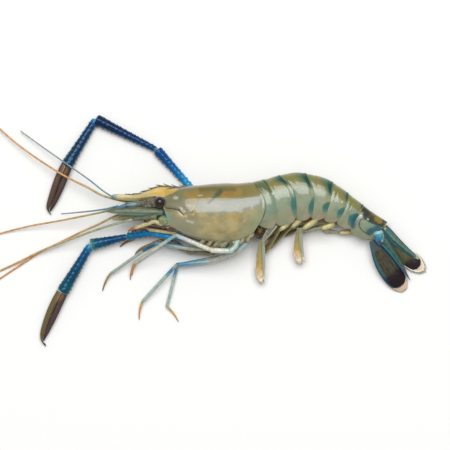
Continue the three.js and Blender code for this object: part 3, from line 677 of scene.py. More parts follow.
SHIELD_CUTICLE = Cuticle(
    # Chitin over olive and ochre pigment: clouded, with a wet gloss
    name="wet_shield_chitin", tones=("#867e59", "#998e64", "#a99a6c"), mottle=7.0,
    layers=(Layer("green", "#858f6c", 0.3, 6, 0.7, 0.4), Layer("low", "#82826a", 0.3, 5, 0.8, 0.4),
    Layer("gold", "#a98b3f", 0.35, 4, 0.6, 0.4), Layer("dorsal", "#746a33", 0.4, 4, 0.9, 0.35),
    Layer("front", "#6f6f52", 0.4, 3.5, 0.85, 0.35), Layer("ochre", "#95742c", 0.4, 3, 0.75, 0.4),
    Layer("rust", "#86581f", 0.45, 1.6, 0.5, 0.4), Layer("crown", "#7f7260", 0.3, 3, 0.85, 0.3),
    # the greyer layer over the flank's middle is a painted reflection: the grey of the wet gloss band
    Layer("teal", "#6f9480", 0.3, 1.5, 0.7, 0.35), Layer("painted_gloss_tone", "#7f877c", 0.35, 5, 0.75, 0.4),
    Layer("crest", "#c4a348", 0.35, 2.5, 0.92, 0.35), Layer("cream", "#b3a264", 0.3, 2.5, 0.9, 0.35),
    Layer("olive", "#5c572c", 0.4, 1.2, 0.8, 0.4), Layer("vein", "#34402f", 0.4, 1.6, 0.85, 0.45),
    Layer("dark", "#2b2a1a", 0.3, 1.2, 0.88, 0.3), Layer("speck", "#3f4428", 0.5, 0.8, 0.7, 0.2),
    # the pale layer is pale spots, partly painted glints of the wet shell
    Layer("pale", "#cbc4a8", 0.5, 1.1, 0.65, 0.5), Layer("rim", "#a3a684", 0.3, 2, 0.4, 0.4),
    Layer("blue", "#4a7a90", 0.5, 1, 0.75, 0.45)), roughness=0.3, film=0.85, film_roughness=0.07, gloss=0.35,
    pit=0.9)

RING_CUTICLE = Cuticle(
    # Thinner chitin than the shield's: grey-green and clearer, with teal bands at the joints
    name="wet_ring_chitin", tones=("#76826c", "#849074", "#8f937a"), mottle=6.0,
    layers=(Layer("teal", "#5c8272", 0.3, 5, 0.75, 0.4), Layer("low", "#8c896a", 0.35, 4, 0.6, 0.4),
    Layer("blush", "#a2937c", 0.5, 2.5, 0.65, 0.4), Layer("dorsal", "#747239", 0.3, 3.5, 0.9, 0.3),
    Layer("verdant", "#4f5b35", 0.3, 3, 0.85, 0.35), Layer("night", "#141c14", 0.5, 3.5, 0.9, 0.35),
    Layer("ochre", "#8a6a30", 0.45, 2.5, 0.6, 0.4), Layer("gold", "#84742a", 0.4, 2, 0.75, 0.4),
    Layer("smoke", "#33604a", 0.2, 2.2, 0.85, 0.45), Layer("band", "#0a3a2e", 0.15, 1.5, 0.95, 0.3),
    Layer("lens", "#557c70", 0.2, 2.5, 0.75, 0.4), Layer("oval", "#275f5a", 0.2, 2, 0.85, 0.4),
    # rim: a painted highlight along the rear rim; pale: pale spots, partly painted glints by the joints
    Layer("rim", "#a3ad90", 0.2, 2, 0.6, 0.3), Layer("pale", "#cfcab2", 0.3, 0.9, 0.8, 0.35),
    Layer("hinge", "#b5842a", 0.35, 0.7, 0.9, 0.3), Layer("pool", "#0f4f5a", 0.3, 2, 0.9, 0.45),
    Layer("line", "#1c2c24", 0.5, 1, 0.7, 0.45)), roughness=0.3, film=0.75, film_roughness=0.08, gloss=0.35, pit=0.9,
    pit_depth=0.025)


@dataclass
class HeadShield:
    """The head shield, with its grooves, its margins and the toothed rostrum.

    Attributes:
        body: the bent body.
        rostrum: rows of [along, top, bottom, half thickness] on the head's centre plane.
        profile: rows of [share of the height from the top, share of the half thickness].
        teeth: how many teeth, where the first stands, their pitch, length and height.
        groove: the groove that runs back and down from the eye, seen from above.
    """

    body: Body
    rostrum: tuple[Row, ...] = ((-119.4, 3.1, 1.6, 0.35), (-117.8, 4.0, 0.5, 0.8), (-110.5, 3.9, -0.7, 1.1),
        (-102, 4.2, -1, 1.5), (-96.5, 6.1, -0.8, 1.9), (-91.5, 7.9, -1.6, 2.6), (-87.5, 9.5, -3, 3.4),
        (-82, 9.8, -4, 4.2), (-75.5, 9.2, -4, 4.6), (-68, 9, -4, 4.6))
    profile: tuple[Row, ...] = ((0, 0.16), (0.1, 0.3), (0.3, 0.5), (0.5, 0.78), (0.6, 1.0), (0.7, 0.72), (0.85, 0.4),
        (1, 0.14))
    teeth: tuple[float, ...] = (9, -110.4, 5.35, 6.2, 1.9)
    groove: Plan = ((-82.5, -5.6), (-76.5, -6.2), (-72.5, -7.6), (-69.3, -10.6))

    def _relief(self, where: PlateSurface) -> Array:
        """Grooves, margins and gentle unevenness of the shield, in millimetres."""
        flank = ease(12, 40, where.angle)
        swell = 0.14 * ripple(where.points, 10.0, 1) + 0.02 * ripple(where.points, 2.6, 1)
        rear = 0.03 * hump(0.5, 0.5, where.to_rear) - 0.05 * hump(2.0, 0.6, where.to_rear)
        lower = 0.25 * ease(160, 178, where.angle)
        front = 0.08 * hump(0.4, 0.6, where.to_front) - 0.1 * hump(1.6, 0.7, where.to_front)
        groove = -0.4 * stroke(where.points, self.groove, 0.8) + 0.15 * stroke(where.points + np.array([0, -1.5, 0]),
            self.groove, 1.0)
        keel = 0.9 * hump(0, 9, where.angle) * ease(34, 12, where.to_front)
        roll = -1.3 * where.up * ease(1.0, 0.75, np.abs(where.up)) * np.sign(where.points[..., 2] - HEAD_HEIGHT)
        return flank * (swell + groove + roll) + rear + lower + front * flank + keel

    def _paint(self, where: PlateSurface) -> dict[str, Array]:
        """Painted masks of the shield."""
        at, flank = where.points, ease(10, 30, where.angle)

        def on(path: Plan, width: float) -> Array:
            """Stroke on the flanks."""
            return flank * stroke(at, path, width)

        margin = ease(0.25, -0.05, where.up)
        crest_foot = np.interp(at[..., 0], [-90, -80.5, -73.5, -68], [2.6, 3.9, 6.6, 9.2])
        crest = ease(-0.9, 0.9, at[..., 1] - crest_foot) * ease(-70, -78, at[..., 0])
        return {"dorsal": ease(0.1, 0.5, where.up + 0.002 * (at[..., 0] + 50)),
            "crown": ease(0.86, 0.95, where.up) * ease(4, 14, where.to_front),
            "front": ease(-59, -70, at[..., 0]) * ease(-0.3, 0.0, where.up),
            "green": ease(16, 2, where.to_rear) * ease(0.3, -0.1, where.up),
            "low": ease(-50, -68, at[..., 0]) * ease(-0.15, -0.45, where.up),
            "gold": np.maximum.reduce([0.7 * on(((-38, -11.0), (-33, -12)), 3.6),
            0.35 * on(((-48, -12), (-44, -15)), 3.5), 0.3 * on(((-52, -19), (-36, -24)), 4.5),
            0.4 * on(((-76, -9.5), (-68, -12.5)), 2.4), 0.6 * on(((-71, -4.5), (-63, -8.0)), 3.4)]),
            "ochre": np.maximum.reduce([on(((-67, 4), (-62.5, 0.8)), 2.8), 0.7 * on(((-64, 4.0), (-58.5, 5.4)), 2.6),
            on(((-41.5, 5.0), (-31, 5.8)), 3.0), 0.8 * on(((-57, -0.2), (-52, 1.5)), 1.8),
            0.3 * on(((-64, -23.5), (-52, -27.5)), 1.6)]), "rust": np.maximum(on(((-57, 6.2), (-52.5, 5.9)), 1.4),
            0.8 * on(((-40, 4.2), (-35, 4.6)), 1.6)), "teal": ease(7, 1, where.to_front) * ease(-0.02, -0.25,
            where.up) * ease(-0.75, -0.55, where.up), "dark": np.maximum.reduce(
            [0.9 * ease(0.975, 0.992, where.up) * ease(-52, -68, at[..., 0]), on(self.groove, 0.5),
            ease(1.25, 0.35, where.to_front) * margin, 0.3 * hump(2.0, 0.45, where.to_rear)]),
            "vein": np.maximum.reduce([on(((-43.4, 6.8), (-46.4, 3.4)), 1.9), on(((-46.0, 3.8), (-52.0, -1.8)), 1.0),
            ]), "olive": 0.9 * on(((-58, 7.8), (-46, 8.0), (-34, 7.6)), 1.6),
            # pale spots, partly painted glints where the wet shell catches the lamp
            "pale": np.maximum.reduce([on(((-75.7, 1.9), (-74.1, 1.7)), 1.2),
            0.8 * on(((-59.2, 3.1), (-56.6, 3.6)), 0.6), 0.8 * on(((-67.0, -14.3), (-62.8, -15.6)), 0.9),
            0.7 * on(((-62.8, -9.9), (-62.0, -9.7)), 0.7), 0.7 * on(((-68.2, -11.2), (-67.4, -11.5)), 0.7),
            0.8 * on(((-70.8, -6.0), (-71.0, -7.2), (-69.4, -9.0)), 0.7), 0.5 * on(((-66.4, -3.4), (-65, -4.2)), 0.9),
            ]), "speck": on(((-70, -7), (-62, -8.5)), 2.6) * (0.5 + 0.5 * ripple(at, 1.1, 1)),
            # pale lines along the rear rim and the front margin, a painted highlight
            "rim": np.maximum(0.6 * hump(0.35, 0.4, where.to_rear) + 0.5 * hump(3.2, 0.4, where.to_rear),
            # greyer tone under the wet gloss band, a painted reflection
            0.4 * hump(1.9, 0.5, where.to_front) * margin), "painted_gloss_tone": ease(-0.08, 0.06, where.up) * ease(0.5, 0.36,
            where.up) * ease(-66, -56, at[..., 0]), "crest": crest, "cream": 0.6 * crest * ease(-80, -74, at[..., 0]),
            }

    def _add_rostrum(self, shape: Shape) -> None:
        """Adds the rostrum's blade and its row of forward teeth."""
        table = np.asarray(self.rostrum, float)
        x = np.linspace(table[0, 0], table[-1, 0], 110)
        rows = sample_table(table[:, 0], table, x)
        right = np.asarray(self.profile, float)
        left = right[::-1]
        share = np.concatenate([right[:, 0], left[:, 0]])
        thick = np.concatenate([-right[:, 1], left[:, 1]])
        top, bottom, half = rows[:, 1:2], rows[:, 2:3], rows[:, 3:4]
        y = top + (bottom - top) * share
        z = HEAD_HEIGHT + half * thick
        grid = np.stack([x[:, None] + 0 * y, y, z], -1)
        crest = ease(0.62, 0.45, share) * (ease(-97, -93, x) * ease(-72, -80, x))[:, None]
        cream = ease(1.0, 0.85, share) * (ease(-119, -115, x) * ease(-88, -96, x))[:, None]
        cream = np.maximum(cream, ease(0.3, 0.12, share) * ease(-80, -74, x)[:, None])
        edge = ease(0.13, 0.03, share) * ease(-113, -108, x)[:, None]
        lines = (0.8 * hump(0.6, 0.05, share) + 0.8 * hump(0.95, 0.07, share)) * np.ones_like(y)
        lines = np.maximum(lines, 0.7 * hump(0.36, 0.04, share) * ease(-92, -100, x)[:, None])
        shape.skin(grid, crest=crest, cream=cream, dark=np.maximum(edge, lines * ease(-114, -108, x)[:, None]),
            front=np.clip(1.0 - crest - cream, 0, 1) * ease(0.4, 0.6, share),
            olive=0.9 * ease(0.62, 0.78, share) * ease(-106, -98, x)[:, None],
            blue=ease(-113.5, -117.5, x)[:, None] * ease(1.1, 0.3, share))
        count, first, pitch, length, height = self.teeth
        for i in range(int(count)):
            tip_x = first + pitch * i
            foot = np.linspace(0, 1, 12)
            line = tip_x + length * foot
            top = sample_table(table[:, 0], table, line)[:, 1]
            tall = height * min(1.0, 0.35 + 0.2 * i)
            rise = top - 0.3 + tall * (1 - foot) ** 2.2
            tooth = np.stack([line, rise, np.full_like(line, HEAD_HEIGHT)], -1)
            thick = 0.12 + 0.5 * np.minimum(foot * 2.2, 1.0)
            shape.skin(swept(tooth, thick, thick, 8), dark=1.0)

    def build(self) -> None:
        """Builds and dresses the shield."""
        plate = Plate(SHIELD_FRONT, SHIELD_REAR, Section(0.64, 0.22, 180.0, 150), 150, rim=0.3)
        points, where = plate.surface(self.body, self._relief)
        neck = ease(15, 0, where.to_front) * ease(72, 30, where.angle)  # narrows to the rostrum
        points[..., 2] = HEAD_HEIGHT + (points[..., 2] - HEAD_HEIGHT) * (1 - 0.78 * neck)
        shape = Shape()
        shape.skin(points, **self._paint(where))
        self._add_rostrum(shape)
        shape.build("head_shield", "shell", SHIELD_CUTICLE, "carapace")


@dataclass(frozen=True)
class RingMarks:
    """What is painted on one tail ring.

    Attributes:
        band: width of the dark band at the rear edge of the back.
        pinch: degrees round from the back at which that band narrows to nothing.
        lens: width of the teal lens that starts there.
        end: degrees round at which the lens has faded.
        deep: how deep the lens's teal is.
        teal: how teal the whole ring is.
        night: how dark its back is.
        ochre: strength of the ochre patches on its back.
        verdant: how green its back is.
        rim: how much its pale rim, a painted highlight along the rear edge, shows.
    """

    band: float
    pinch: float
    lens: float
    end: float
    deep: float = 0.8
    teal: float = 0.0
    night: float = 0.0
    ochre: float = 0.7
    verdant: float = 0.0
    rim: float = 0.7


@dataclass
class TailRings:
    """The seven rings of the tail, each with its hanging side plates.

    Attributes:
        body: the bent body.
        marks: what is painted on each ring.
        hinges: orange points of the joints, seen from above.
        flecks_and_glints: pale spots, partly painted glints of the wet shell, seen from above.
        pool: middle line of the last ring's teal patch.
        joint_pool: middle line of the deep teal patch at the joint before it.
        gold: middle line of the gold patch on the last ring's back.
        line: dark line over that patch, which runs on round the ring's lower front corner.
    """

    body: Body
    marks: tuple[RingMarks, ...] = (RingMarks(3.2, 62, 0.6, 130, teal=0.45, deep=0.1, ochre=0.1, verdant=1.0,
        rim=0.0), RingMarks(6.0, 78, 4.8, 144, teal=0.25, ochre=0.8, deep=0.75),
        RingMarks(6.6, 86, 3.9, 144, deep=0.9), RingMarks(6.4, 86, 4.2, 126, deep=0.95),
        RingMarks(3.8, 77, 4.4, 130, ochre=0.6, ), RingMarks(3.0, 66, 5.6, 138, ochre=0.6, deep=1.0),
        RingMarks(1.6, 50, 1.0, 125, deep=0.4, teal=0.1, night=1.0, ochre=0.9))
    hinges: Plan = ((-10.7, 4.2), (17.2, 5.0), (30.5, 1.0), (42.0, -2.5), (52.8, -8.4), (71.4, -19.1), (69.4, -28.6))
    flecks_and_glints: Plan = ((-7.4, 4.6), (59.3, -13.6), (54.4, -10.6), (41.0, -1.4))
    pool: Plan = ((60.5, -22.4), (66.0, -19.6))
    joint_pool: Plan = ((51.4, -11.4), (49.6, -14.0), (48.4, -18.6))
    gold: Plan = ((65.6, -13.2), (67.6, -14.8))
    line: Plan = ((71.0, -19.2), (68.6, -17.4), (65.0, -16.8), (61.5, -15.6), (57.6, -13.6), (54.8, -13.4),
        (53.2, -15.2), (53.0, -17.6), (54.0, -19.8), (56.0, -22.0), (60.0, -24.2))

    def _relief(self, where: PlateSurface) -> Array:
        """Furrow, lip and gentle unevenness of a ring, in millimetres."""
        swell = 0.14 * ripple(where.points, 8.0, 1) + 0.02 * ripple(where.points, 2.2, 1)
        lip = 0.12 * hump(0.5, 0.45, where.to_rear) - 0.1 * hump(1.7, 0.6, where.to_rear)
        furrow = -0.2 * hump(0.3, 0.09, where.t) * ease(100, 50, where.angle)
        hem = 0.3 * hump(150, 7, where.angle)
        puff = -0.7 * np.abs(2 * np.clip(where.t, 0, 1) - 1) ** 4 * ease(12, 40, where.angle)
        return swell + lip + furrow + hem + puff

    def _paint(self, where: PlateSurface, marks: RingMarks) -> dict[str, Array]:
        """Painted masks of a ring.

        Args:
            where: places on the ring.
            marks: what is painted on it.

        Returns:
            The masks.
        """
        back = ease(marks.pinch + 2, marks.pinch - 42, where.angle)
        to_edge = where.to_rear / (marks.band * back + 0.15)
        middle = (marks.pinch + marks.end) / 2
        around = (where.angle - marks.pinch) / (marks.end - marks.pinch)
        swell = np.clip(around * 2.4, 0, 1) ** 0.75 * ease(1.3, 0.5, around)
        from_edge = where.to_rear / (marks.lens * swell + 0.1)
        inside = ease(1.2, 0.65, from_edge) * ease(-0.03, 0.06, around) * ease(1.12, 0.7, around)
        core = hump(middle - 0.12 * (marks.end - marks.pinch), 0.3 * (marks.end - marks.pinch), where.angle)
        patchy = 0.5 + 0.5 * np.tanh(4 * ripple(where.points + 40.0, 5.0, 1))
        return {"teal": np.full_like(where.t, marks.teal) + 0.5 * hump(0.5, 0.25, where.t) * (marks.night > 0),
            "low": ease(-0.25, -0.6, where.up), "dorsal": ease(0.3, 0.6, where.up),
            "verdant": marks.verdant * ease(0.25, 0.6, where.up), "night": marks.night * ease(0.1, 0.5, where.up),
            "ochre": marks.ochre * patchy * ease(0.45, 0.7, where.up) * ease(0.2, 0.5, where.t),
            "gold": (marks.night > 0) * stroke(where.points, self.gold, 2.2) * ease(0.1, 0.4, where.up),
            "smoke": back * ease(1.5, 0.35, to_edge), "band": back * ease(0.8, 0.2, to_edge), "lens": inside,
            "oval": marks.deep * inside * np.clip(0.3 + 0.75 * core, 0, 1),
            # pale band along the rear rim, a painted highlight
            "rim": marks.rim * hump(0.2, 0.35, where.to_rear) * ease(marks.pinch + 4, marks.pinch - 10, where.angle),
            "blush": ease(122, 140, where.angle) * ease(0.35, 0.7, where.t) * (marks.night == 0),
            # pale spots, partly painted glints of the wet shell by the joints
            "hinge": dots(where.points, self.hinges, 0.75), "pale": dots(where.points, self.flecks_and_glints, 0.8),
            "pool": np.maximum((marks.night > 0) * stroke(where.points, self.pool, 3.0),
            0.9 * stroke(where.points, self.joint_pool, 2.0) * ease(40, 60, where.angle)),
            "line": (marks.night > 0) * stroke(where.points, self.line, 0.55)}

    def build(self) -> None:
        """Builds and dresses the rings."""
        section = Section(0.55, 0.12, 155.0, 110)
        for i, marks in enumerate(self.marks):
            front, rear = PLATE_EDGES[i], PLATE_EDGES[i + 1]
            last = i + 1 == len(self.marks)
            lip = 0.0 if last else 0.6
            plate = Plate(front, rear, section, 46, tuck=1.6 if i else 0.2, lip=lip, scallop=0.13,
                nose=0.0 if i else 0.46, step=0.006 if i == 1 else 0.038, rim=0.4 if i else 0.12)
            points, where = plate.surface(self.body, self._relief)
            shape = Shape()
            shape.skin(points, **self._paint(where, marks))
            shape.build(f"tail_ring_{i + 1}", "ring_shell", RING_CUTICLE, f"abdomen_ring_{i + 1}")


# ---------------------------------------------------------------- limbs


@dataclass(frozen=True)
class Joint:
    """How a segment of a limb swells along its length.

    Attributes:
        places: shares of the length.
        swell: shares of the radius at those places.
        soft: how much of the soft joint skin shows there.
    """

    places: tuple[float, ...] = (0, 0.012, 0.035, 0.08, 0.16, 0.3, 0.5, 0.7, 0.84, 0.91, 0.95, 0.98, 1)
    swell: tuple[float, ...] = (0.6, 0.82, 0.9, 0.93, 0.96, 0.99, 1.0, 1.02, 1.04, 1.07, 1.09, 1.04, 0.72)
    soft: tuple[float, ...] = (1, 1, 1, 0.7, 0.2, 0, 0, 0, 0, 0, 0.1, 0.6, 1)


HARD_JOINT = Joint()
TIP_PLACES, TIP_SWELL = (0, 0.04, 0.2, 0.6, 0.9, 1), (0.6, 1.0, 1.12, 1.1, 1.0, 0.5)  # a limb's last segment


def swept(centres: Array, across: Array, upright: Array, around: int, ridges: float = 0.0) -> Array:
    """Rows of points round a path, in ovals that stand square to it.

    Args:
        centres: points of the path.
        across: radius to the side at each point.
        upright: radius up and down at each point.
        around: points in each row.
        ridges: height of six lengthwise ridges, as a share of the radius.

    Returns:
        The rows of points.
    """
    _, side, top = axes_along(centres)
    turn = 2 * np.pi * (np.arange(around) + 0.5) / around
    wave = 1 + ridges * np.cos(6 * turn)
    wide = (across[:, None] * np.cos(turn) * wave)[..., None] * side[:, None]
    tall = (upright[:, None] * np.sin(turn) * wave)[..., None] * top[:, None]
    return centres[:, None] + wide + tall


@dataclass(frozen=True)
class Limb:
    """A chain of hard segments that ends in a point.

    Attributes:
        name: the piece's name.
        nodes: the solids that it stands for.
        slot: the record's material slot.
        base: where it starts.
        segments: rows of [length, heading, end height, radius, end radius].
        finish: its cuticle.
        flat: height of its section as a share of its width.
        around: points round it.
        arch: how far the middle of each segment bows up, as a share of its length.
        bow: how far the middle of the last segment bows aside, as a share of its length.
    """

    name: str
    nodes: tuple[str, ...]
    slot: str
    base: Point
    segments: tuple[Row, ...]
    finish: Cuticle
    flat: float = 1.0
    around: int = 18
    arch: float = 0.01
    bow: float = 0.0

    def spans(self) -> list[tuple[Array, Array, float, float]]:
        """Returns both ends and both radii of each segment."""
        joints = joints_of(self.base, self.segments)
        radii = [(row[3], end_radius(row)) for row in self.segments]
        return [(a, b, *pair) for a, b, pair in zip(joints[:-1], joints[1:], radii)]

    def fill(self, shape: Shape) -> None:
        """Adds the limb's segments to a shape."""
        spans = self.spans()
        lengths = np.array([np.linalg.norm(b - a) for a, b, _, _ in spans])
        run = np.concatenate([[0.0], np.cumsum(lengths)]) / lengths.sum()
        steps = np.asarray(HARD_JOINT.places)
        for i, (a, b, radius, end_radius) in enumerate(spans):
            last = i + 1 == len(spans)
            reach = 0.35 * radius * unit(b - a)
            start, end = a - (reach if i else 0 * reach), b + (0 * reach if last else reach)
            centres = start + (end - start) * steps[:, None]
            centres[:, 2] += self.arch * lengths[i] * np.sin(np.pi * steps)
            swell = np.asarray(HARD_JOINT.swell)
            if last:
                swell = np.interp(steps, TIP_PLACES, TIP_SWELL)
                bow = self.bow * lengths[i] * np.sin(np.pi * steps)
                centres[:, 0] += bow * (end - start)[1] / lengths[i]
                centres[:, 1] -= bow * (end - start)[0] / lengths[i]
            radii = (radius + (end_radius - radius) * steps) * swell
            grid = swept(centres, radii, radii * self.flat, self.around)
            grid[..., 2] = np.maximum(grid[..., 2], FLOOR)
            along = (run[i] + (run[i + 1] - run[i]) * steps)[:, None]
            soft = np.asarray(HARD_JOINT.soft)[:, None] * (0.0 if last else 1.0)
            shape.skin(grid, along=along, soft=soft)

    def build(self) -> None:
        """Builds and dresses the limb."""
        shape = Shape()
        self.fill(shape)
        shape.build(self.name, self.slot, self.finish, *self.nodes)


def leg_cuticle(name: str, ramp: Ramp, soft: str = "#b7b08e") -> Cuticle:
    """Cuticle of a slim leg: thin and clear enough for light to pass, with coloured joints.

    Args:
        name: the material's name.
        ramp: colours from the body to the tip.
        soft: colour of the skin in the joints.

    Returns:
        The finish.
    """
    return Cuticle(name=name, ramp=ramp, layers=(Layer("soft", soft, 0.3, 0.8, 0.5),), mottle=1.5, glow=0.25,
        film=0.45, pit=0.35, pit_depth=0.015)


PALE_LEG = ((0, "#a9c0b5"), (0.12, "#bdd5ce"), (0.17, "#dad9c8"), (0.27, "#d6d6c8"), (0.4, "#cdd2c9"),
    (0.47, "#8fb6bf"), (0.52, "#6ba6bf"), (0.56, "#8fb9c2"), (0.62, "#bfc6bb"), (0.84, "#bdbfae"), (0.87, "#b5a070"),
    (0.9, "#c29a5c"), (0.97, "#b98848"), (1, "#6d4a28"))
BLUE_KNEE_LEG = ((0, "#adbfb5"), (0.07, "#9fc3c9"), (0.14, "#b8bfb0"), (0.3, "#b9bdad"), (0.36, "#8fb0b8"),
    (0.47, "#4f90ae"), (0.53, "#3f86a8"), (0.545, "#b3a883"), (0.56, "#2577a4"), (0.62, "#3f88a8"), (0.66, "#a3b8b2"),
    (0.86, "#a9bab0"), (0.88, "#a9a67c"), (0.9, "#d3a562"), (0.97, "#cf9a52"), (1, "#8a6034"))
DARK_LEG = ((0, "#8a937c"), (0.15, "#a7a98f"), (0.3, "#9fb1aa"), (0.42, "#7fa3aa"), (0.5, "#2f6f88"),
    (0.56, "#17537c"), (0.6, "#3f7a88"), (0.65, "#9aaba2"), (0.84, "#a3b0a2"), (0.87, "#8f9070"), (0.9, "#a08c54"),
    (0.97, "#8f7440"), (1, "#4d3a1f"))
TAN_LEG = ((0, "#9a8a66"), (0.3, "#8b7448"), (0.6, "#8d6438"), (0.85, "#a3733f"), (1, "#5a3a20"))
CREAM_LEG = ((0, "#a79a72"), (0.2, "#bdae84"), (0.45, "#c4b486"), (0.52, "#b0703a"), (0.62, "#96764c"),
    (0.8, "#9a6838"), (1, "#6a3f20"))
MOUTH_LEG = ((0, "#9a8a66"), (0.2, "#b5a67c"), (0.37, "#c9bb8c"), (0.75, "#cbbb8e"), (0.83, "#a9703c"),
    (1, "#8a4f28"))
BROWN_LEG = ((0, "#7d7350"), (0.3, "#9a8c68"), (0.5, "#8f7c50"), (0.75, "#8a7a55"), (0.86, "#7d7450"),
    (0.9, "#7f683c"), (0.97, "#80602f"), (1, "#4d3320"))


LEGS: dict[str, tuple[Chain, Ramp]] = {"left_leg_1": (((-65, -23, 20.5),
    ((12, 180, 19.4, 1.4), (16.5, 172, 16.8, 1.3, 1.1), (4, 157, 10.5, 1, 0.9), (11.5, 226, 4, 0.9, 0.8),
    (11, 210, 0.9, 0.8, 0.35))), CREAM_LEG), "right_leg_1": (((-68, -22.5, 12.5),
    ((14, 178, 5.5, 1.5), (12.5, 155, 3.5, 1.4, 1.1), (8.5, 197, 2.4, 1, 0.9), (6, 215, 1, 0.8, 0.35))), TAN_LEG),
    "left_leg_3": (((-40, -28.5, 23.5), ((13, 206, 18.5, 1.5), (14, 179, 15, 1.4), (23, 171, 11, 1.4, 1.3),
    (11, 209, 8, 1.1, 0.9), (28, 215, 4, 0.85, 0.75), (13.5, 245, 0.8, 0.65, 0.25))), DARK_LEG),
    "right_leg_3": (((-42.5, -30, 15), ((10, 229, 9, 1.5), (18, 175, 6, 1.4), (20.5, 158, 4.6, 1.3, 1.1),
    (14.5, 203, 3, 0.9, 0.75), (6, 223, 0.8, 0.6, 0.25))), BROWN_LEG),
    "left_leg_4": (((-31.5, -27.5, 23.5), ((5, 252, 24.6, 1.6), (5, 222, 25, 1.6), (13.3, 177.6, 24.5, 1.6),
    (27, 157, 23, 1.5, 1.3), (35, 214, 8, 1, 0.8), (12.5, 255, 0.9, 0.7, 0.25))), PALE_LEG),
    "right_leg_4": (((-33, -28.5, 14), ((10.5, 218, 4.4, 1.6), (24, 184, 2.4, 1.5), (16.5, 146, 1.9, 1.3),
    (28.5, 214, 1.4, 0.9, 0.8), (10.5, 250, 0.8, 0.65, 0.25))), BLUE_KNEE_LEG),
    "left_leg_5": (((-24.5, -25, 20.5), ((4, 260, 20.5, 1.5), (9.5, 225, 18, 1.5), (20, 201, 12, 1.5, 1.4),
    (24, 186, 8, 1.4, 1.2), (35, 227, 4, 1, 0.8), (13.5, 259, 0.8, 0.7, 0.25))), BLUE_KNEE_LEG),
    "right_leg_5": (((-26, -26.5, 13), ((7.5, 237, 8, 1.5), (11.5, 213, 5.5, 1.5), (35, 191, 3.6, 1.4, 1.2),
    (30, 256, 2.2, 0.9, 0.75), (13.5, 307, 0.8, 0.65, 0.25))), BLUE_KNEE_LEG),
    "left_mouth_leg": (((-79, -19, 24.5), ((11.5, 159, 26, 1.4), (14, 199, 22, 1.3, 0.9), (6, 207, 18.5, 0.8, 0.4))),
    MOUTH_LEG), "right_mouth_leg": (((-77, -18.5, 14), ((6.5, 203, 11, 1.3), (9.5, 170, 7.2, 1.2),
    (8, 184, 6, 1, 0.9), (4.5, 205, 5, 0.8, 0.4))), TAN_LEG)}


@dataclass(frozen=True)
class WalkingLegs:
    """The slim legs and the mouth legs.

    Attributes:
        chains: each one's chain and its colours from the body to the tip.
        stout: how much thicker than its chain's radii a leg is, and how much its last two segments.
        bow: how far the last segment bows aside, as a share of its length.
    """

    chains: dict[str, tuple[Chain, Ramp]] = field(default_factory=lambda: LEGS)
    stout: tuple[float, float] = (1.12, 1.35)
    bow: float = 0.06

    def build(self) -> None:
        """Builds and dresses every leg."""
        for name, ((base, segments), ramp) in self.chains.items():
            wider = tuple((*row[:3], *(self.stout[i >= len(segments) - 2] * radius for radius in row[3:])) for i,
                row in enumerate(segments))
            bow = -self.bow if name == "right_leg_5" else self.bow
            Limb(name, (name,), "leg", base, wider, leg_cuticle(f"{name}_chitin", ramp), bow=bow).build()


# ---------------------------------------------------------------- claw arms

# The right merus is lightest where it runs under the shield: its own bright blue, lifted further as painted light
# against the shade there.
RIGHT_MERUS = ((0, "#1f8ab8"), (0.5, "#30a0d0"), (0.67, "#3fb0dc"), (0.73, "#2496cc"), (0.79, "#1076b2"),
    (0.85, "#0a5c96"), (0.92, "#074c86"), (1, "#074276"))
RIGHT_CARPUS = ((0, "#04446e"), (0.35, "#03305c"), (0.7, "#03264a"), (1, "#082648"))
RIGHT_PALM = ((0, "#2a86b4"), (0.12, "#053e68"), (0.5, "#043454"), (1, "#083c54"))
# The left merus is the arm's own bright blue, lightened all along as painted light against the head's shade.
LEFT_MERUS = ((0, "#86a0a4"), (0.3, "#5b9ab2"), (0.42, "#129cd8"), (0.64, "#1090d0"), (0.72, "#0c76ac"),
    (0.9, "#0c70a4"), (1, "#0a7082"))
LEFT_CARPUS = ((0, "#034670"), (0.5, "#033f6a"), (0.85, "#0a5870"), (1, "#4c867c"))
LEFT_PALM = ((0, "#2792c4"), (0.15, "#034c7a"), (0.6, "#024462"), (1, "#074e5c"))


def arm_cuticle(name: str, ramp: Ramp, finger: str) -> Cuticle:
    """Cuticle of a claw arm: thick blue chitin set with thorns, deep in colour with sharp wet lights.

    Args:
        name: the material's name.
        ramp: colours along the segment.
        finger: colour of its finger.

    Returns:
        The finish.
    """
    return Cuticle(name=name, ramp=ramp, layers=(Layer("soft", "#6fa3b4", 0.3, 1, 0.5),
        # the tan layer is the fingers' own tan, with painted highlight lines along their ridges
        Layer("brown", finger, 0.2, 2, 0.97), Layer("tan", "#8a6234", 0.4, 1.5, 0.6),
        # the seam layer is painted shade in the gap between the closed fingers
        Layer("fleck", "#9a8672", 0.5, 1, 0.6), Layer("seam", "#241613", 0.2, 1, 0.8),
        Layer("black", "#171113", 0.3, 1, 0.95), Layer("collar", "#9fc9c0", 0.2, 1, 0.95),
        Layer("thorn", "#0b2038", 0.1, 1, 0.9)), mottle=2.0, roughness=0.3, film=0.5, film_roughness=0.06, glow=0.0,
        gloss=0.32, tint="#2f86d8", pit=0.8, pit_depth=0.05)


@dataclass(frozen=True)
class ArmChains:
    """The chains of one claw arm, with [length, heading, end height, radius, end radius] rows."""

    base: Point
    merus: tuple[Row, ...]
    carpus: tuple[Row, ...]
    palm: tuple[Row, ...]
    fixed_finger: tuple[Row, ...]
    movable_finger: tuple[Row, ...]
    ramps: tuple[Ramp, ...]
    finger_tones: tuple[str, str]
    collar: float = 0.0


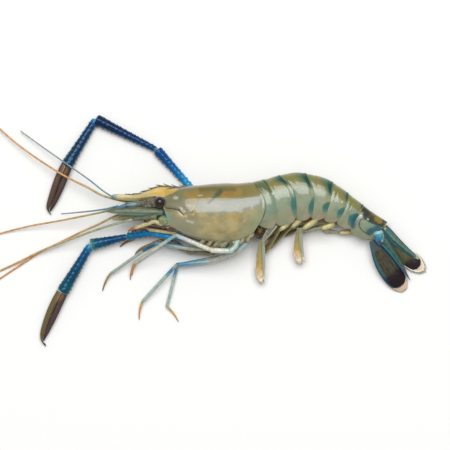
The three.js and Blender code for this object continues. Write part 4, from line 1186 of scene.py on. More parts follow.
ARMS = {"left": ArmChains(base=(-65, -24.5, 17.5), merus=((12.5, 185, 15.8, 1.7, 1.9), (15.5, 169.5, 12.4, 1.7, 1.9),
    (16.5, 190, 8.6, 2.3, 2.4)), carpus=((1.5, 187, 8.3, 1.7), (25, 193, 5.8, 2, 4)),
    palm=((3, 215, 5.4, 2.2), (36, 241, 4.1, 2.5, 4.1)), fixed_finger=((14.5, 240, 3.8, 2.3),
    (16.5, 249, 3.2, 2, 1.7), (8, 262, 2.8, 1.4, 1), (6, 298, 2, 0.8, 0.3)),
    movable_finger=((15.5, 247, 3.8, 2.2, 2), (15.5, 245, 3.2, 1.9, 1.3), (9, 243, 2.6, 1.1, 0.4)),
    ramps=(LEFT_MERUS, LEFT_CARPUS, LEFT_PALM), finger_tones=("#5c4d26", "#402826"), collar=1.0),
    "right": ArmChains(base=(-48.5, -25, 13), merus=((6.5, 121, 2.7, 2), (32, 115, 2.7, 2, 2.1),
    (34.5, 132, 3.6, 2.3, 3.2)), carpus=((2, 140, 3.7, 1.8), (46, 154, 3.7, 2, 3.7)),
    palm=((3.5, 190, 3.8, 2.2), (36.5, 242, 4, 2.4, 4)), fixed_finger=((12.5, 242, 3.8, 2.3), (15, 250, 3.2, 2, 1.7),
    (7.5, 256, 2.8, 1.4, 1), (5.5, 296, 2, 0.8, 0.3)), movable_finger=((13.5, 251, 3.8, 2.3, 2),
    (14.5, 247, 3.2, 1.9, 1.3), (9, 240, 2.6, 1.1, 0.4)), ramps=(RIGHT_MERUS, RIGHT_CARPUS, RIGHT_PALM),
    finger_tones=("#4c3424", "#3c2822"))}


KNUCKLE_PLACES = (0, 0.03, 0.08, 0.16, 0.8, 0.93, 0.985, 1)  # shares of a segment's length
KNUCKLE_SWELL = (0.7, 0.98, 1.04, 1.02, 1.06, 1.1, 1.06, 0.72)  # shares of its radius there


@dataclass(frozen=True)
class ClawArm:
    """One long arm with its thorns and its two fingers.

    Attributes:
        side: left or right.
        chains: its joints.
        flat: height of its sections as a share of their width.
        around: points round a segment.
        thorn_pitch: from one thorn to the next along a row.
        thorn_rows: rows of thorns round the arm.
        thorn_length: length of a thorn.
        spread: how far each finger's root lies to the side of the palm's middle.
        sink: how far inside the palm it starts.
        seam: half of the gap between the closed fingers.
    """

    side: str
    chains: ArmChains
    flat: float = 0.95
    around: int = 42
    thorn_pitch: float = 3.4
    thorn_rows: int = 7
    thorn_length: float = 1.1
    spread: float = 1.75
    sink: float = 2.5
    seam: float = 0.09

    def _rod(self, shape: Shape, a: Array, b: Array, radii: Row, along: Row, collar: float = 0.0) -> None:
        """Adds one hard segment with its rows of thorns.

        Args:
            shape: what it is added to.
            a: its start.
            b: its end.
            radii: its start and end radius.
            along: where it starts and ends along the arm's colours.
            collar: strength of the pale ring at its end.
        """
        length = float(np.linalg.norm(b - a))
        count = max(int(length / 0.45), 16)
        steps = np.linspace(0, 1, count)
        knuckle = np.interp(steps, KNUCKLE_PLACES, KNUCKLE_SWELL)
        radius = (radii[0] + (radii[1] - radii[0]) * steps**1.2) * knuckle
        centres = a + (b - a) * steps[:, None]
        grid = swept(centres, radius, radius * self.flat, self.around)
        outward = unit(grid - centres[:, None])
        lane = np.arange(self.around)[None, :] * self.thorn_rows / self.around
        beat = steps[:, None] * length / self.thorn_pitch + 0.5 * np.round(lane)
        knobs = np.cos(np.pi * lane) ** 2 * (0.5 + 0.5 * np.cos(2 * np.pi * beat)) ** 2
        bumpy = 0.12 * ripple(grid, 2.4, 1) + 0.09 * ripple(grid + 9.0, 1.2, 1) + 0.2 * knobs
        grid = grid + outward * (bumpy * ease(0, 0.06, steps)[:, None])[..., None]
        grid[..., 2] = np.maximum(grid[..., 2], FLOOR)
        shape.skin(grid, along=(along[0] + (along[1] - along[0]) * steps)[:, None],
            soft=(ease(0.06, 0.0, steps) + ease(0.98, 1.0, steps))[:, None],
            collar=collar * ease(0.945, 0.975, steps)[:, None])
        thorns = max(int(length * 0.86 / self.thorn_pitch), 1)
        forward = unit(b - a)
        for row in range(self.thorn_rows):
            places = np.arange(1, thorns + 2) + 0.5 * (row % 2)
            places = (places + 0.25 * np.sin(5.0 * places + row)) * self.thorn_pitch / length
            places = places[places < 0.96]
            pick = np.clip((places * (count - 1)).astype(int), 0, count - 1)
            turn = int(row * self.around / self.thorn_rows)
            roots, aside = grid[pick, turn], outward[pick, turn]
            tall = self.thorn_length * (1 + 0.6 * ripple(roots, 1.1, 1))[:, None]
            tips = roots + tall * unit(aside + 0.8 * forward)
            tips[:, 2] = np.maximum(tips[:, 2], FLOOR)
            shape.spikes(roots - 0.15 * aside, tips, 0.3, 5, along=float(along[1]), thorn=0.5)

    def _finger(self, shape: Shape, root: Array, rows: tuple[Row, ...], other: Array, hook: float) -> None:
        """Adds one finger: a ridged taper, flat where it meets the other one, with low teeth.

        Args:
            shape: what it is added to.
            root: where it starts.
            rows: its chain.
            other: the other finger's middle line.
            hook: +1 where the other finger lies on its left, and -1 on its right.
        """
        path = self._finger_path(root, rows)
        count = len(path)
        steps = np.linspace(0, 1, count)
        radius = path[:, 3] * np.interp(steps, [0, 0.1, 0.3, 0.96, 1], [1, 0.95, 0.8, 0.85, 0.3])
        _, side, top = axes_along(path[:, :3])
        nearest = np.linalg.norm(path[:, None, :2] - other[None, :, :2], axis=-1).min(axis=1)
        inner = np.clip(nearest / 2 - self.seam, 0.35 * radius, 2.6 * radius)
        turn = 2 * np.pi * (np.arange(28) + 0.5) / 28
        across, lift = hook * np.cos(turn), np.sin(turn)
        facing = across > 0
        root_share = ease(0.34, 0.2, steps)[:, None]  # the fingers' roots look like one piece
        squared = np.where(facing, np.abs(across) ** (0.6 - 0.35 * root_share), np.abs(across))
        wide = np.where(facing, inner[:, None] * squared, -radius[:, None] * squared)
        full = np.where(facing, np.abs(lift) ** (0.45 - 0.3 * root_share) * np.sign(lift), lift)
        ridges = 1 + 0.04 * np.cos(6 * turn)
        tall = radius[:, None] * self.flat * full * ridges
        grid = path[:, None, :3] + hook * wide[..., None] * side[:, None] + tall[..., None] * top[:, None]
        grid[..., 2] = np.maximum(grid[..., 2], FLOOR)
        share = steps[:, None]
        # tan lines along the upper ridges are painted highlights
        ridge_highlight = 0.4 * hump(0.1, 0.18, np.cos(3 * turn)) * lift
        shape.skin(grid, along=1.0, brown=ease(0.05, 0.07, share), tan=0.9 * hump(0.14, 0.12, share) * hump(0.4, 0.5,
            across) + ridge_highlight, fleck=ease(0.55, 0.9, np.cos(7 * turn) * np.cos(2 * np.pi * steps * count / 3.2)[:,
            # seam: painted shade in the gap where the closed fingers meet
            None]) * (lift > 0.2), seam=ease(0.86, 0.98, across) * ease(0.24, 0.34, share),
            black=ease(0.8, 1.0, share), collar=1.2 * self.chains.collar * hump(0.045, 0.022, share))
        teeth = np.arange(14, count - 8, 3)
        inward = hook * side[teeth]
        roots = path[teeth, :3] + inward * inner[teeth, None] * 0.9 + 0.3 * radius[teeth, None] * top[teeth]
        shape.spikes(roots, roots + inward * 0.3 + 0.35 * top[teeth], 0.3, 6, along=1.0, brown=1.0)

    def _finger_path(self, root: Array, rows: tuple[Row, ...]) -> Array:
        """Returns a finger's middle line with its radius."""
        joints = joints_of(tuple(root), rows)
        radii = [rows[0][3], *(end_radius(row) for row in rows)]
        return smooth_path([(*joint, radius) for joint, radius in zip(joints, radii)], 70)

    def build(self) -> None:
        """Builds and dresses the arm."""
        chains, side = self.chains, self.side
        wrist = joints_of(chains.base, chains.merus)
        elbow = joints_of(tuple(wrist[-1]), chains.carpus)
        knuckles = joints_of(tuple(elbow[-1]), chains.palm)
        merus_finish, carpus_finish, palm_finish = (arm_cuticle(f"{side}_{part}_chitin", ramp, chains.finger_tones[0])
            for part, ramp in zip(("merus", "carpus", "palm"), chains.ramps))

        merus = Shape()
        share = np.linspace(0, 1, len(wrist))
        for i, row in enumerate(chains.merus):
            radii = (row[3], end_radius(row))
            under = 1.1 * row[3] * unit(wrist[i + 1] - wrist[i]) * (i > 0)  # runs back inside the joint
            self._rod(merus, wrist[i] - under, wrist[i + 1], radii, (share[i], share[i + 1]))
        merus.build(f"{side}_arm_merus", "arm_blue", merus_finish, f"{side}_claw_merus")

        carpus = Shape()
        self._rod(carpus, wrist[-1], elbow[-1], (chains.carpus[1][3], chains.carpus[1][4]), (0, 1),
            0.5 * chains.collar)
        carpus.build(f"{side}_arm_carpus", "arm_blue", carpus_finish, f"{side}_claw_carpus")

        heading = math.radians(chains.palm[-1][1])
        forward = np.array([math.cos(heading), math.sin(heading), 0.0])
        aside = np.array([-forward[1], forward[0], 0.0])
        root = knuckles[-1] - self.sink * forward
        fixed, movable = root - self.spread * aside, root + self.spread * aside
        finger_finishes = (replace(palm_finish, name=f"{side}_{part}_chitin", tint="#ffffff", gloss=0.3, film=0.5,
            layers=tuple(replace(layer, colour=tone) if layer.mask == "brown" else layer
            for layer in palm_finish.layers)) for part, tone in zip(("fixed_finger", "thumb"), chains.finger_tones))
        fixed_finish, thumb_finish = finger_finishes
        palm = Shape()
        self._rod(palm, elbow[-1], knuckles[-1], (chains.palm[1][3], chains.palm[1][4]), (0, 1))
        palm.wears = 1
        self._finger(palm, fixed, chains.fixed_finger, self._finger_path(movable, chains.movable_finger), 1.0)
        palm.build(f"{side}_claw", "arm_blue", (palm_finish, fixed_finish), f"{side}_claw_palm")
        thumb = Shape()
        self._finger(thumb, movable, chains.movable_finger, self._finger_path(fixed, chains.fixed_finger), -1.0)
        thumb.build(f"{side}_thumb", "claw_brown", thumb_finish, f"{side}_claw_finger")


# ---------------------------------------------------------------- feelers

GREY_FEELER = ((0, "#4a8798"), (0.3, "#6590a0"), (1, "#9aa5aa"))
ORANGE_FEELER = ((0, "#979d74"), (0.12, "#b3a770"), (0.25, "#c9a468"), (0.45, "#d9a062"), (1, "#d9965c"))
TAN_FEELER = ((0, "#a0b09a"), (0.25, "#b3b08a"), (0.5, "#c9a970"), (0.7, "#d3a264"), (1, "#d3985e"))

FEELERS: dict[str, tuple[Point, float, Ramp, tuple[Row, ...]]] = {"right_antennule_feeler_1": ((-103.9, -1.3, 17.3),
    0.5, GREY_FEELER, ((16.5, 166, 17.5), (20.5, 144, 13), (19.5, 145, 9.8), (19, 145, 6), (20, 144, 3))),
    "right_antennule_feeler_2": ((-103.9, -2.4, 15.9), 0.7, ORANGE_FEELER,
    ((13.5, 168, 15), (10.5, 163, 14), (11, 151, 12.6), (14, 154, 11), (11.5, 150, 10), (15.5, 147, 8),
    (17.5, 144, 5.5), (18.5, 139, 3.2), (19, 137, 1.6), (18, 135, 0.6))),
    "left_antennule_feeler_1": ((-114.9, -4.1, 24), 0.55, GREY_FEELER,
    ((7.5, 195, 22.4), (8.5, 189, 19.5), (12.5, 186, 15.5), (12.5, 185, 12))),
    "left_antennule_feeler_2": ((-114.9, -5.1, 22.7), 0.6, ORANGE_FEELER,
    ((9, 198, 20), (13, 192, 15.5), (21, 191, 9), (21.5, 190, 4.5), (21.5, 194, 1.4), (22.5, 198, 0.7),
    (22, 200, 0.6))), "right_antenna_feeler": ((-103.8, -10, 14.3), 0.7, ORANGE_FEELER,
    ((11.5, 183, 13.5), (15, 205, 10.5), (15.5, 204, 7.5), (15.5, 206, 4.5), (15.5, 206, 2.2), (17, 213, 1.3),
    (17, 214, 0.8), (20.5, 216, 0.7), (20, 219, 0.6))), "left_antenna_feeler": ((-104.9, -13.6, 24.8), 0.75,
    TAN_FEELER, ((14, 195, 20.5), (13.5, 197, 16.5), (14, 200, 12), (14, 200, 7.6), (14.5, 203, 4.6),
    (15.5, 206, 2.4), (15.5, 205, 1.2), (23, 204, 0.7), (23, 204, 0.6)))}


@dataclass(frozen=True)
class Feelers:
    """The long whips of the head, each a stack of fine rings.

    Attributes:
        chains: for each, its base, its root radius, its colours and its chain.
        ring_pitch: from one ring to the next.
        ring_depth: how far the rings stand out, as a share of the radius.
        around: points round a feeler.
        tip: radius near the tip.
    """

    chains: dict[str, tuple[Point, float, Ramp, tuple[Row, ...]]] = field(default_factory=lambda: FEELERS)
    ring_pitch: float = 0.9
    ring_depth: float = 0.12
    around: int = 10
    tip: float = 0.35

    def build(self) -> None:
        """Builds and dresses every feeler."""
        for name, (base, radius, ramp, rows) in self.chains.items():
            length = sum(row[0] for row in rows)
            count = int(3 * length / self.ring_pitch)
            path = smooth_path(joints_of(base, rows), count)
            steps = np.linspace(0, 1, count)
            ends = np.interp(steps, [0, 0.01, 0.995, 1], [0.6, 1, 1, 0.4])
            taper = (1.15 * radius + (self.tip - radius) * steps**1.3) * ends
            rings = 1 + self.ring_depth * (np.arange(count) % 3 == 1)
            grid = swept(path, taper * rings, taper * rings, self.around)
            shape = Shape()
            shape.skin(grid, along=steps[:, None], ringed=(np.arange(count) % 3 == 0).astype(float)[:, None])
            slot = "feeler_grey" if name.endswith("antennule_feeler_1") else "feeler_orange"
            finish = Cuticle(
                # Fine ringed whip: clear chitin over pigment, soft shine
                name=f"{name}_chitin", ramp=ramp, layers=(Layer("ringed", "#5b4a30", 0.2, 1, 0.35),), mottle=2.5,
                glow=0.2, film=0.3, pit=0.4, pit_depth=0.01)
            shape.build(f"{name}_whip", slot, finish, name)


# ---------------------------------------------------------------- blades


class BladeKind(Enum):
    """What a flat blade is, which settles how its width swells."""

    SCALE = ((0, 0.6), (0.15, 0.9), (0.4, 1.0), (0.65, 0.85), (0.85, 0.5), (1, 0.1))
    TELSON = ((0, 0.9), (0.15, 1.0), (0.45, 0.84), (0.75, 0.55), (0.93, 0.3), (1, 0.1))
    INNER_LOBE = (
        (0, 0.6), (0.12, 0.98), (0.18, 0.95), (0.3, 0.78), (0.46, 0.62), (0.62, 0.48), (0.78, 0.34), (1, 0.05),
    )
    TAIL_STALK = ((0, 0.8), (0.2, 1.0), (0.6, 0.9), (0.85, 0.6), (1, 0.3))
    LOBE = ((0, 0.3), (0.1, 0.48), (0.35, 0.85), (0.6, 1.0), (0.82, 0.88), (0.94, 0.58), (1, 0.22))
    STALK = ((0, 0.7), (0.2, 1.0), (0.8, 1.0), (1, 0.7))
    SWIMMER = ((0, 0.5), (0.1, 0.62), (0.4, 0.75), (0.75, 0.95), (0.93, 0.85), (1, 0.4))
    LEAF = ((0, 0.4), (0.2, 0.85), (0.45, 1.0), (0.75, 0.85), (1, 0.3))
    STRAP = ((0, 0.9), (0.3, 1.0), (0.6, 0.85), (0.85, 0.5), (1, 0.15))
    WEDGE = ((0, 1.0), (0.4, 0.85), (0.8, 0.58), (1, 0.42))
    FRAYED = ((0, 0.42), (0.2, 0.56), (0.5, 0.84), (0.72, 1.0), (0.86, 0.85), (1, 0.45))


@dataclass(frozen=True)
class Fringe:
    """Row of fine bristles along the edge of a blade.

    Attributes:
        start: where along the blade it starts, as a share of the length.
        length: of the longest bristles.
        count: bristles on each edge.
        radius: of each bristle's foot.
        sides: which edges carry it: +1, -1 or both.
        ragged: how uneven the bristles' lengths are.
    """

    start: float
    length: float
    count: int = 70
    radius: float = 0.09
    sides: tuple[int, ...] = (1, -1)
    ragged: float = 0.35


@dataclass(frozen=True)
class Blade:
    """A thin curved blade with lengthwise ribs and a fringe of bristles.

    Attributes:
        base: where it starts.
        segments: rows of [length, heading, end height].
        half_width: at its widest.
        thickness: half of its thickness at the middle.
        kind: how its width swells.
        ribs: rows of [place across from -1 to 1, width, height in millimetres].
        fringe: its bristles, if it has any.
        cup: how far its edges droop, as a share of the half width.
        turn: degrees that it is turned about its own length.
        spots: bright dots, seen from above.
        marks: painted masks that are full all over it.
    """

    base: Point
    segments: tuple[Row, ...]
    half_width: float
    thickness: float
    kind: BladeKind
    ribs: tuple[Row, ...] = ((0, 0.12, 0.3),)
    fringe: Fringe | None = None
    cup: float = 0.12
    turn: float = 0.0
    spots: Plan = ()
    marks: tuple[str, ...] = ()

    def fill(self, shape: Shape, rows: int = 64, around: int = 44) -> None:
        """Adds the blade and its fringe to a shape."""
        path = smooth_path(joints_of(self.base, self.segments), rows)
        steps = np.linspace(0, 1, rows)
        table = np.asarray(self.kind.value, float)
        half = self.half_width * sample_table(table[:, 0], table[:, 1:], steps)[:, 0]
        half = np.maximum(half, 0.05 * self.half_width)
        along, side, top = axes_along(path)
        lean = math.radians(self.turn)
        side, top = side * math.cos(lean) + top * math.sin(lean), top * math.cos(lean) - side * math.sin(lean)
        turn = 2 * np.pi * np.arange(around) / around
        across, lift = np.cos(turn), np.sin(turn)
        body = lift * (1 - 0.65 * np.abs(across) ** 3)
        thin = np.minimum(1.0, half / (2 * self.thickness))[:, None] * ease(1.08, 0.8, steps)[:, None]
        height = self.thickness * body * thin - self.cup * half[:, None] * across**2
        for place, width, tall in self.ribs:
            height = height + tall * hump(place, width, across) * np.sign(lift) * ease(1.0, 0.75, steps)[:, None]
        height = height + 0.05 * ripple(path[:, None] + half[:, None, None] * across[:, None] * side[:, None], 2.0, 1)
        wide = (half[:, None] * across)[..., None] * side[:, None]
        points = path[:, None] + wide + height[..., None] * top[:, None]
        points[..., 2] = np.maximum(points[..., 2], FLOOR)
        rib = np.max([hump(place, width, across) for place, width, _ in self.ribs], axis=0)
        shape.skin(points, along=steps[:, None], root=ease(0.3, 0.08, steps)[:, None], rib=rib,
            left_edge=ease(0.35, 0.9, across), right_edge=ease(-0.35, -0.9, across),
            fine_edge=ease(-0.7, -0.97, across), tip=ease(0.88, 0.98, steps[:, None] + 0.07 * across**4),
            patch=ease(0.5, 0.8, steps)[:, None] * ease(1.0, 0.9, steps[:, None] + 0.1 * across**4),
            streak=np.clip(0.5 + 0.5 * np.cos(19 * across), 0, 1), dot=dots(points, self.spots, 0.7),
            **{mark: 1.0 for mark in self.marks})
        if self.fringe:
            self._add_fringe(shape, path, half, side, along, top)

    def _add_fringe(self, shape: Shape, path: Array, half: Array, side: Array, along: Array, top: Array) -> None:
        """Adds bristles along the edges, which lean towards the tip.

        Args:
            shape: what they are added to.
            path: the blade's middle line.
            half: its half width along that line.
            side: direction of its left edge.
            along: direction of its tip.
            top: direction of its upper face.
        """
        fringe, last = self.fringe, len(path) - 1
        for sign in fringe.sides:
            at = np.linspace(fringe.start, 1, fringe.count) * last
            pick = np.clip(at.astype(int), 0, last - 1)
            mixed = (at - pick)[:, None]
            middle = path[pick] * (1 - mixed) + path[pick + 1] * mixed
            width = np.interp(at, np.arange(last + 1), half)[:, None]
            foot = middle + sign * width * 0.92 * side[pick] - self.cup * width * top[pick]
            share = (at / last)[:, None]
            lean = ease(fringe.start, 1.0, share)
            scatter = ripple(foot, 0.6, 1)[:, None]
            line = unit(sign * side[pick] * (1.15 - lean) + along[pick] * (0.55 + lean) + 0.12 * top[pick] * scatter)
            reach = fringe.length * (0.45 + 0.55 * lean) * (1 + fringe.ragged * scatter)
            tips = foot + reach * line
            tips[:, 2] = np.maximum(tips[:, 2], 0.15)
            shape.spikes(foot, tips, fringe.radius, 3, along=1.0, tip=1.0, bristle=1.0)
        if len(fringe.sides) > 1:  # the row across the tip
            across = np.linspace(-1, 1, max(int(fringe.count * 0.3), 8))[:, None]
            foot = path[-1] - 0.3 * along[-1] + 0.9 * across * half[-1] * side[-1]
            scatter = ripple(foot + 5.0, 0.6, 1)[:, None]
            line = unit(along[-1] + 0.25 * across * side[-1] + 0.12 * top[-1] * scatter)
            tips = foot + fringe.length * (1.15 - 0.7 * across**2) * (1 + fringe.ragged * scatter) * line
            tips[:, 2] = np.maximum(tips[:, 2], 0.15)
            shape.spikes(foot, tips, fringe.radius, 3, along=1.0, tip=1.0, bristle=1.0)


TAIL_CUTICLE = Cuticle(
    # Tail lobe: thin brown-grey chitin over black pigment, blue along its edge, with a cream fringe
    name="tail_lobe_chitin", tones=("#2b2b22", "#3b382a", "#454030"),
    layers=(Layer("streak", "#575038", 0.4, 2, 0.5), Layer("root", "#4a5658", 0.5, 2, 0.7),
    Layer("rib", "#3c5048", 0.3, 1, 0.4), Layer("left_edge", "#2f4c5a", 0.35, 1.5, 0.5),
    Layer("right_edge", "#3c6670", 0.45, 2.5, 0.8, 0.4), Layer("patch", "#1c1018", 0.4, 3, 0.95, 0.45),
    Layer("fine_edge", "#1c4654", 0.45, 1.5, 0.8), Layer("tip", "#cdb6a0", 0.3, 1, 0.95),
    Layer("bristle", "#e6d3bd", 0.1, 1, 0.95)), mottle=2.5, film=0.2, gloss=0.15, glow=0.1, pit=0.5)

TELSON_CUTICLE = Cuticle(
    # Telson: dark green chitin that turns teal towards its lower edge, paler along its keel
    name="telson_chitin", tones=("#22443c", "#2d5c52", "#3f766a"), layers=(Layer("streak", "#3b4427", 0.4, 2.5, 0.6),
    Layer("right_edge", "#2f6f80", 0.45, 2, 0.75, 0.4), Layer("rib", "#6f938c", 0.5, 1.5, 0.45),
    Layer("root", "#2a6a72", 0.5, 2, 0.6), Layer("left_edge", "#1b2d24", 0.3, 1.5, 0.9),
    Layer("tip", "#b9b08c", 0.4, 1, 0.8), Layer("dot", "#c9a04c", 0.3, 0.8, 0.9),
    Layer("bristle", "#b9b48c", 0.1, 1, 0.9)), mottle=3.0, film=0.5, glow=0.1, pit=0.5)

INNER_LOBE_CUTICLE = Cuticle(
    # Inner tail lobe: olive ridges with a bright blue edge, lilac towards the tip
    name="inner_tail_chitin", tones=("#28483f", "#375d4f", "#4a7062"),
    layers=(Layer("streak", "#20342e", 0.3, 2, 0.6), Layer("rib", "#4f8484", 0.4, 1.5, 0.4),
    Layer("right_edge", "#1f7690", 0.4, 2, 0.85, 0.35), Layer("left_edge", "#1c3030", 0.3, 1.5, 0.85),
    Layer("patch", "#3f4a66", 0.4, 2.5, 0.6, 0.4), Layer("tip", "#5d5a72", 0.3, 1, 0.8),
    Layer("bristle", "#7d7888", 0.1, 1, 0.9)), mottle=2.5, film=0.5, glow=0.1, pit=0.5)

OLIVE_TAIL_CUTICLE = Cuticle(
    # Far tail lobe: olive chitin that darkens to black, with a cream fringe
    name="olive_tail_chitin", tones=("#3c4028", "#4b4d2e", "#444c38"),
    layers=(Layer("streak", "#5f5a38", 0.4, 2, 0.35), Layer("left_edge", "#3b6a60", 0.3, 1.5, 0.7),
    Layer("patch", "#1f141c", 0.45, 2.5, 0.95, 0.4), Layer("tip", "#ddcdb2", 0.25, 1, 0.95),
    Layer("bristle", "#ece2cc", 0.1, 1, 0.95)), mottle=2.5, gloss=0.15, film=0.25, glow=0.1, pit=0.5)

STALK_CUTICLE = Cuticle(
    # Stalk of the tail fan: deep blue chitin, with a pale painted reflection where it joins the last ring
    name="blue_stalk_chitin", tones=("#1a6a8a", "#2a8098", "#4f9698"),
    layers=(Layer("left_edge", "#5f8674", 0.4, 1.5, 0.9, 0.4), Layer("right_edge", "#15607e", 0.4, 1.5, 0.8),
    # the pale root layer is a painted reflection of the wet joint
    Layer("patch", "#0a3a6a", 0.4, 1.5, 0.85, 0.45), Layer("root", "#9fc0c0", 0.5, 1.2, 0.7),
    Layer("tip", "#0a3f70", 0.4, 0.8, 0.8), Layer("dot", "#c9a050", 0.3, 0.6, 0.95)), mottle=2.0, film=0.5)

FAR_STALK_CUTICLE = Cuticle(
    # Far stalk of the tail fan: dark olive-teal
    name="dark_stalk_chitin", tones=("#22352c", "#2f4a3e"), mottle=2.0)


@dataclass(frozen=True)
class TailFan:
    """The telson and the four lobes of the tail fan with their stalks."""

    blades: dict[str, tuple[Blade, Cuticle]] = field(default_factory=lambda: {
        "telson": (Blade((70.3, -19.6, 9.5), ((13, 314.5, 8), (11.5, 320, 6.4), (8.6, 324, 5.2)), 3.4, 1.6,
        BladeKind.TELSON, ribs=((0.0, 0.3, 0.5), (0.55, 0.1, 0.12)), fringe=Fringe(0.45, 0.8, 50, 0.06), cup=0.25,
        spots=((71.6, -19.6), (71.2, -20.4))), TELSON_CUTICLE), "left_uropod_stalk": (Blade((66.2, -21.8, 14),
        ((5.8, 284, 13.6), (4.4, 280, 12)), 3.5, 1.8, BladeKind.TAIL_STALK, ribs=((0.3, 0.2, 0.35),),
        spots=((69.3, -28.4), (69.5, -28.9))), STALK_CUTICLE), "left_uropod_outer": (Blade((62.4, -28.4, 9.5),
        ((18.5, 300, 7), (22.5, 306, 2.2)), 7.6, 0.8, BladeKind.LOBE,
        ribs=((0.12, 0.05, 0.22), (-0.08, 0.05, 0.18), (-0.62, 0.07, 0.28), (0.5, 0.04, 0.1)),
        fringe=Fringe(0.66, 2.0, 160)), TAIL_CUTICLE), "left_uropod_inner": (Blade((69.2, -26.2, 11.8),
        ((17, 306, 9), (19, 301.5, 4.2)), 3.3, 0.8, BladeKind.INNER_LOBE,
        ribs=((0.1, 0.08, 0.3), (-0.35, 0.06, 0.2), (0.5, 0.06, 0.18)), fringe=Fringe(0.6, 0.7, 40, 0.06)),
        INNER_LOBE_CUTICLE), "right_uropod_stalk": (Blade((68.6, -25, 4.6), ((5.5, 300, 4.2), (4, 310, 3.8)), 2.2,
        1.5, BladeKind.STALK), FAR_STALK_CUTICLE), "right_uropod_outer": (Blade((73, -27, 5.2),
        ((15.5, 316, 4.4), (17, 322, 2.6)), 5.6, 0.8, BladeKind.LOBE,
        ribs=((0.1, 0.05, 0.2), (-0.3, 0.05, 0.14), (0.6, 0.07, 0.24)), fringe=Fringe(0.66, 3.8, 150, 0.1)),
        OLIVE_TAIL_CUTICLE), "right_uropod_inner": (Blade((72.5, -28, 2.6), ((13.5, 315, 2), (15, 318, 1.2)), 4, 0.7,
        BladeKind.LOBE, ribs=((0, 0.06, 0.2),), fringe=Fringe(0.62, 1.8, 60)), OLIVE_TAIL_CUTICLE)})

    def build(self) -> None:
        """Builds and dresses the fan."""
        for name, (blade, finish) in self.blades.items():
            shape = Shape()
            blade.fill(shape)
            shape.build(f"{name}_blade", "tail", finish, name)


YELLOW_STALK = Cuticle(
    # Stalk of a swimming leg: clear chitin with cream-yellow flesh behind it, lightest in its middle as a painted
    # highlight, with painted shade along its edges and ends
    name="swimmer_stalk_chitin", ramp=((0, "#8f8c5c"), (0.25, "#c9c48c"), (0.7, "#dcd6a0"), (1, "#857e52")),
    layers=(Layer("left_edge", "#978a52", 0.3, 1, 0.8, 0.3), Layer("right_edge", "#7d7040", 0.3, 1, 0.85, 0.3)),
    mottle=1.5, glow=0.25, film=0.5)

GREY_STALK = Cuticle(
    # Stalk of the first swimming leg: clear grey chitin with pale edges
    name="grey_stalk_chitin", ramp=((0, "#6f756a"), (0.5, "#83887f"), (0.9, "#979b90"), (1, "#b9b99c")),
    layers=(Layer("left_edge", "#b9bd92", 0.3, 1.5, 0.85, 0.3), Layer("right_edge", "#bdb499", 0.3, 1.5, 0.85, 0.3)),
    mottle=2.0, glow=0.25, film=0.5)

TAN_BLADE = Cuticle(
    # Long blade: grey-green and clear, tan pigment down one side, cream at the fringe
    name="tan_swimmer_chitin", ramp=((0, "#8c8a64"), (0.3, "#a39862"), (0.55, "#b49d5c"), (0.68, "#c8aa6c"),
    (0.8, "#e6cda6"), (0.9, "#ece0c0"), (1, "#eef0d4")), layers=(Layer("grey", "#8fa79f", 0.2, 3, 0.92),
    Layer("streak", "#c4a868", 0.4, 2, 0.4), Layer("root", "#8a8a66", 0.4, 2, 0.5),
    Layer("tip", "#eee6cc", 0.5, 1.5, 0.8), Layer("bristle", "#ecd3b0", 0.3, 1, 0.9)), mottle=1.6, glow=0.35,
    film=0.3, roughness=0.45, pit=0.4)

OLIVE_BLADE = Cuticle(
    # Blades folded against the belly: brown-olive and clear, with pale edges
    name="olive_swimmer_chitin", ramp=((0, "#857e50"), (0.35, "#6f663c"), (0.75, "#7d7046"), (1, "#a89a68")),
    layers=(Layer("left_edge", "#b3aa7c", 0.4, 1.5, 0.55), Layer("streak", "#4f4626", 0.4, 2, 0.5),
    Layer("bristle", "#cbbb8a", 0.1, 1, 0.9)), mottle=1.6, glow=0.25, film=0.4, pit=0.4)

CREAM_BLADE = Cuticle(
    # Last pair: pale grey-cream blades
    name="cream_swimmer_chitin", ramp=((0, "#a3a284"), (0.5, "#b9b795"), (1, "#cfcaa8")),
    layers=(Layer("streak", "#8a8a6c", 0.4, 2, 0.5),), mottle=1.6, glow=0.25, film=0.4, pit=0.4)

SWIMMERS: dict[str, Chain] = {"left_pleopod_1": ((-7, -17, 19), ((13.5, 237, 14, 3.7),)),
    "left_pleopod_2": ((6, -13, 18.5), ((12, 224, 16, 1.8), (12, 235, 10, 2.3), (9, 233, 6.5, 2.2))),
    "left_pleopod_3": ((13.5, -12, 17.5), ((10.5, 222, 13, 1.8), (13, 221, 7.5, 2.8), (9.5, 222, 4.5, 2.5))),
    "left_pleopod_4": ((24.4, -13.2, 17), ((13, 213, 14, 1.7),)), "left_pleopod_5": ((36.2, -17.0, 15),
    ((10.5, 197, 13, 1.7), (10, 187, 9.5, 1.8), (4.5, 194, 7, 1.5))),
    "right_pleopod_1": ((-6, -17, 9.5), ((12, 238, 6, 1.8), (10, 248, 3.2, 2), (7, 262, 1.8, 1.8))),
    "right_pleopod_2": ((10.5, -12, 9.5), ((12, 222, 6, 1.8), (8, 218, 3.6, 2), (5.5, 214, 2, 1.7))),
    "right_pleopod_3": ((23, -12, 9), ((12.5, 216, 5.5, 1.6), (8, 208, 3.2, 1.8), (5, 200, 2, 1.5))),
    "right_pleopod_4": ((34.5, -14, 8.5), ((10.5, 208, 5.5, 1.5), (9, 196, 3.4, 1.7), (5, 190, 2.2, 1.3))),
    "right_pleopod_5": ((48.4, -22.2, 7.5), ((9.5, 184, 5.5, 1.5), (6, 174, 4, 1.7), (4, 170, 3, 1.4)))}

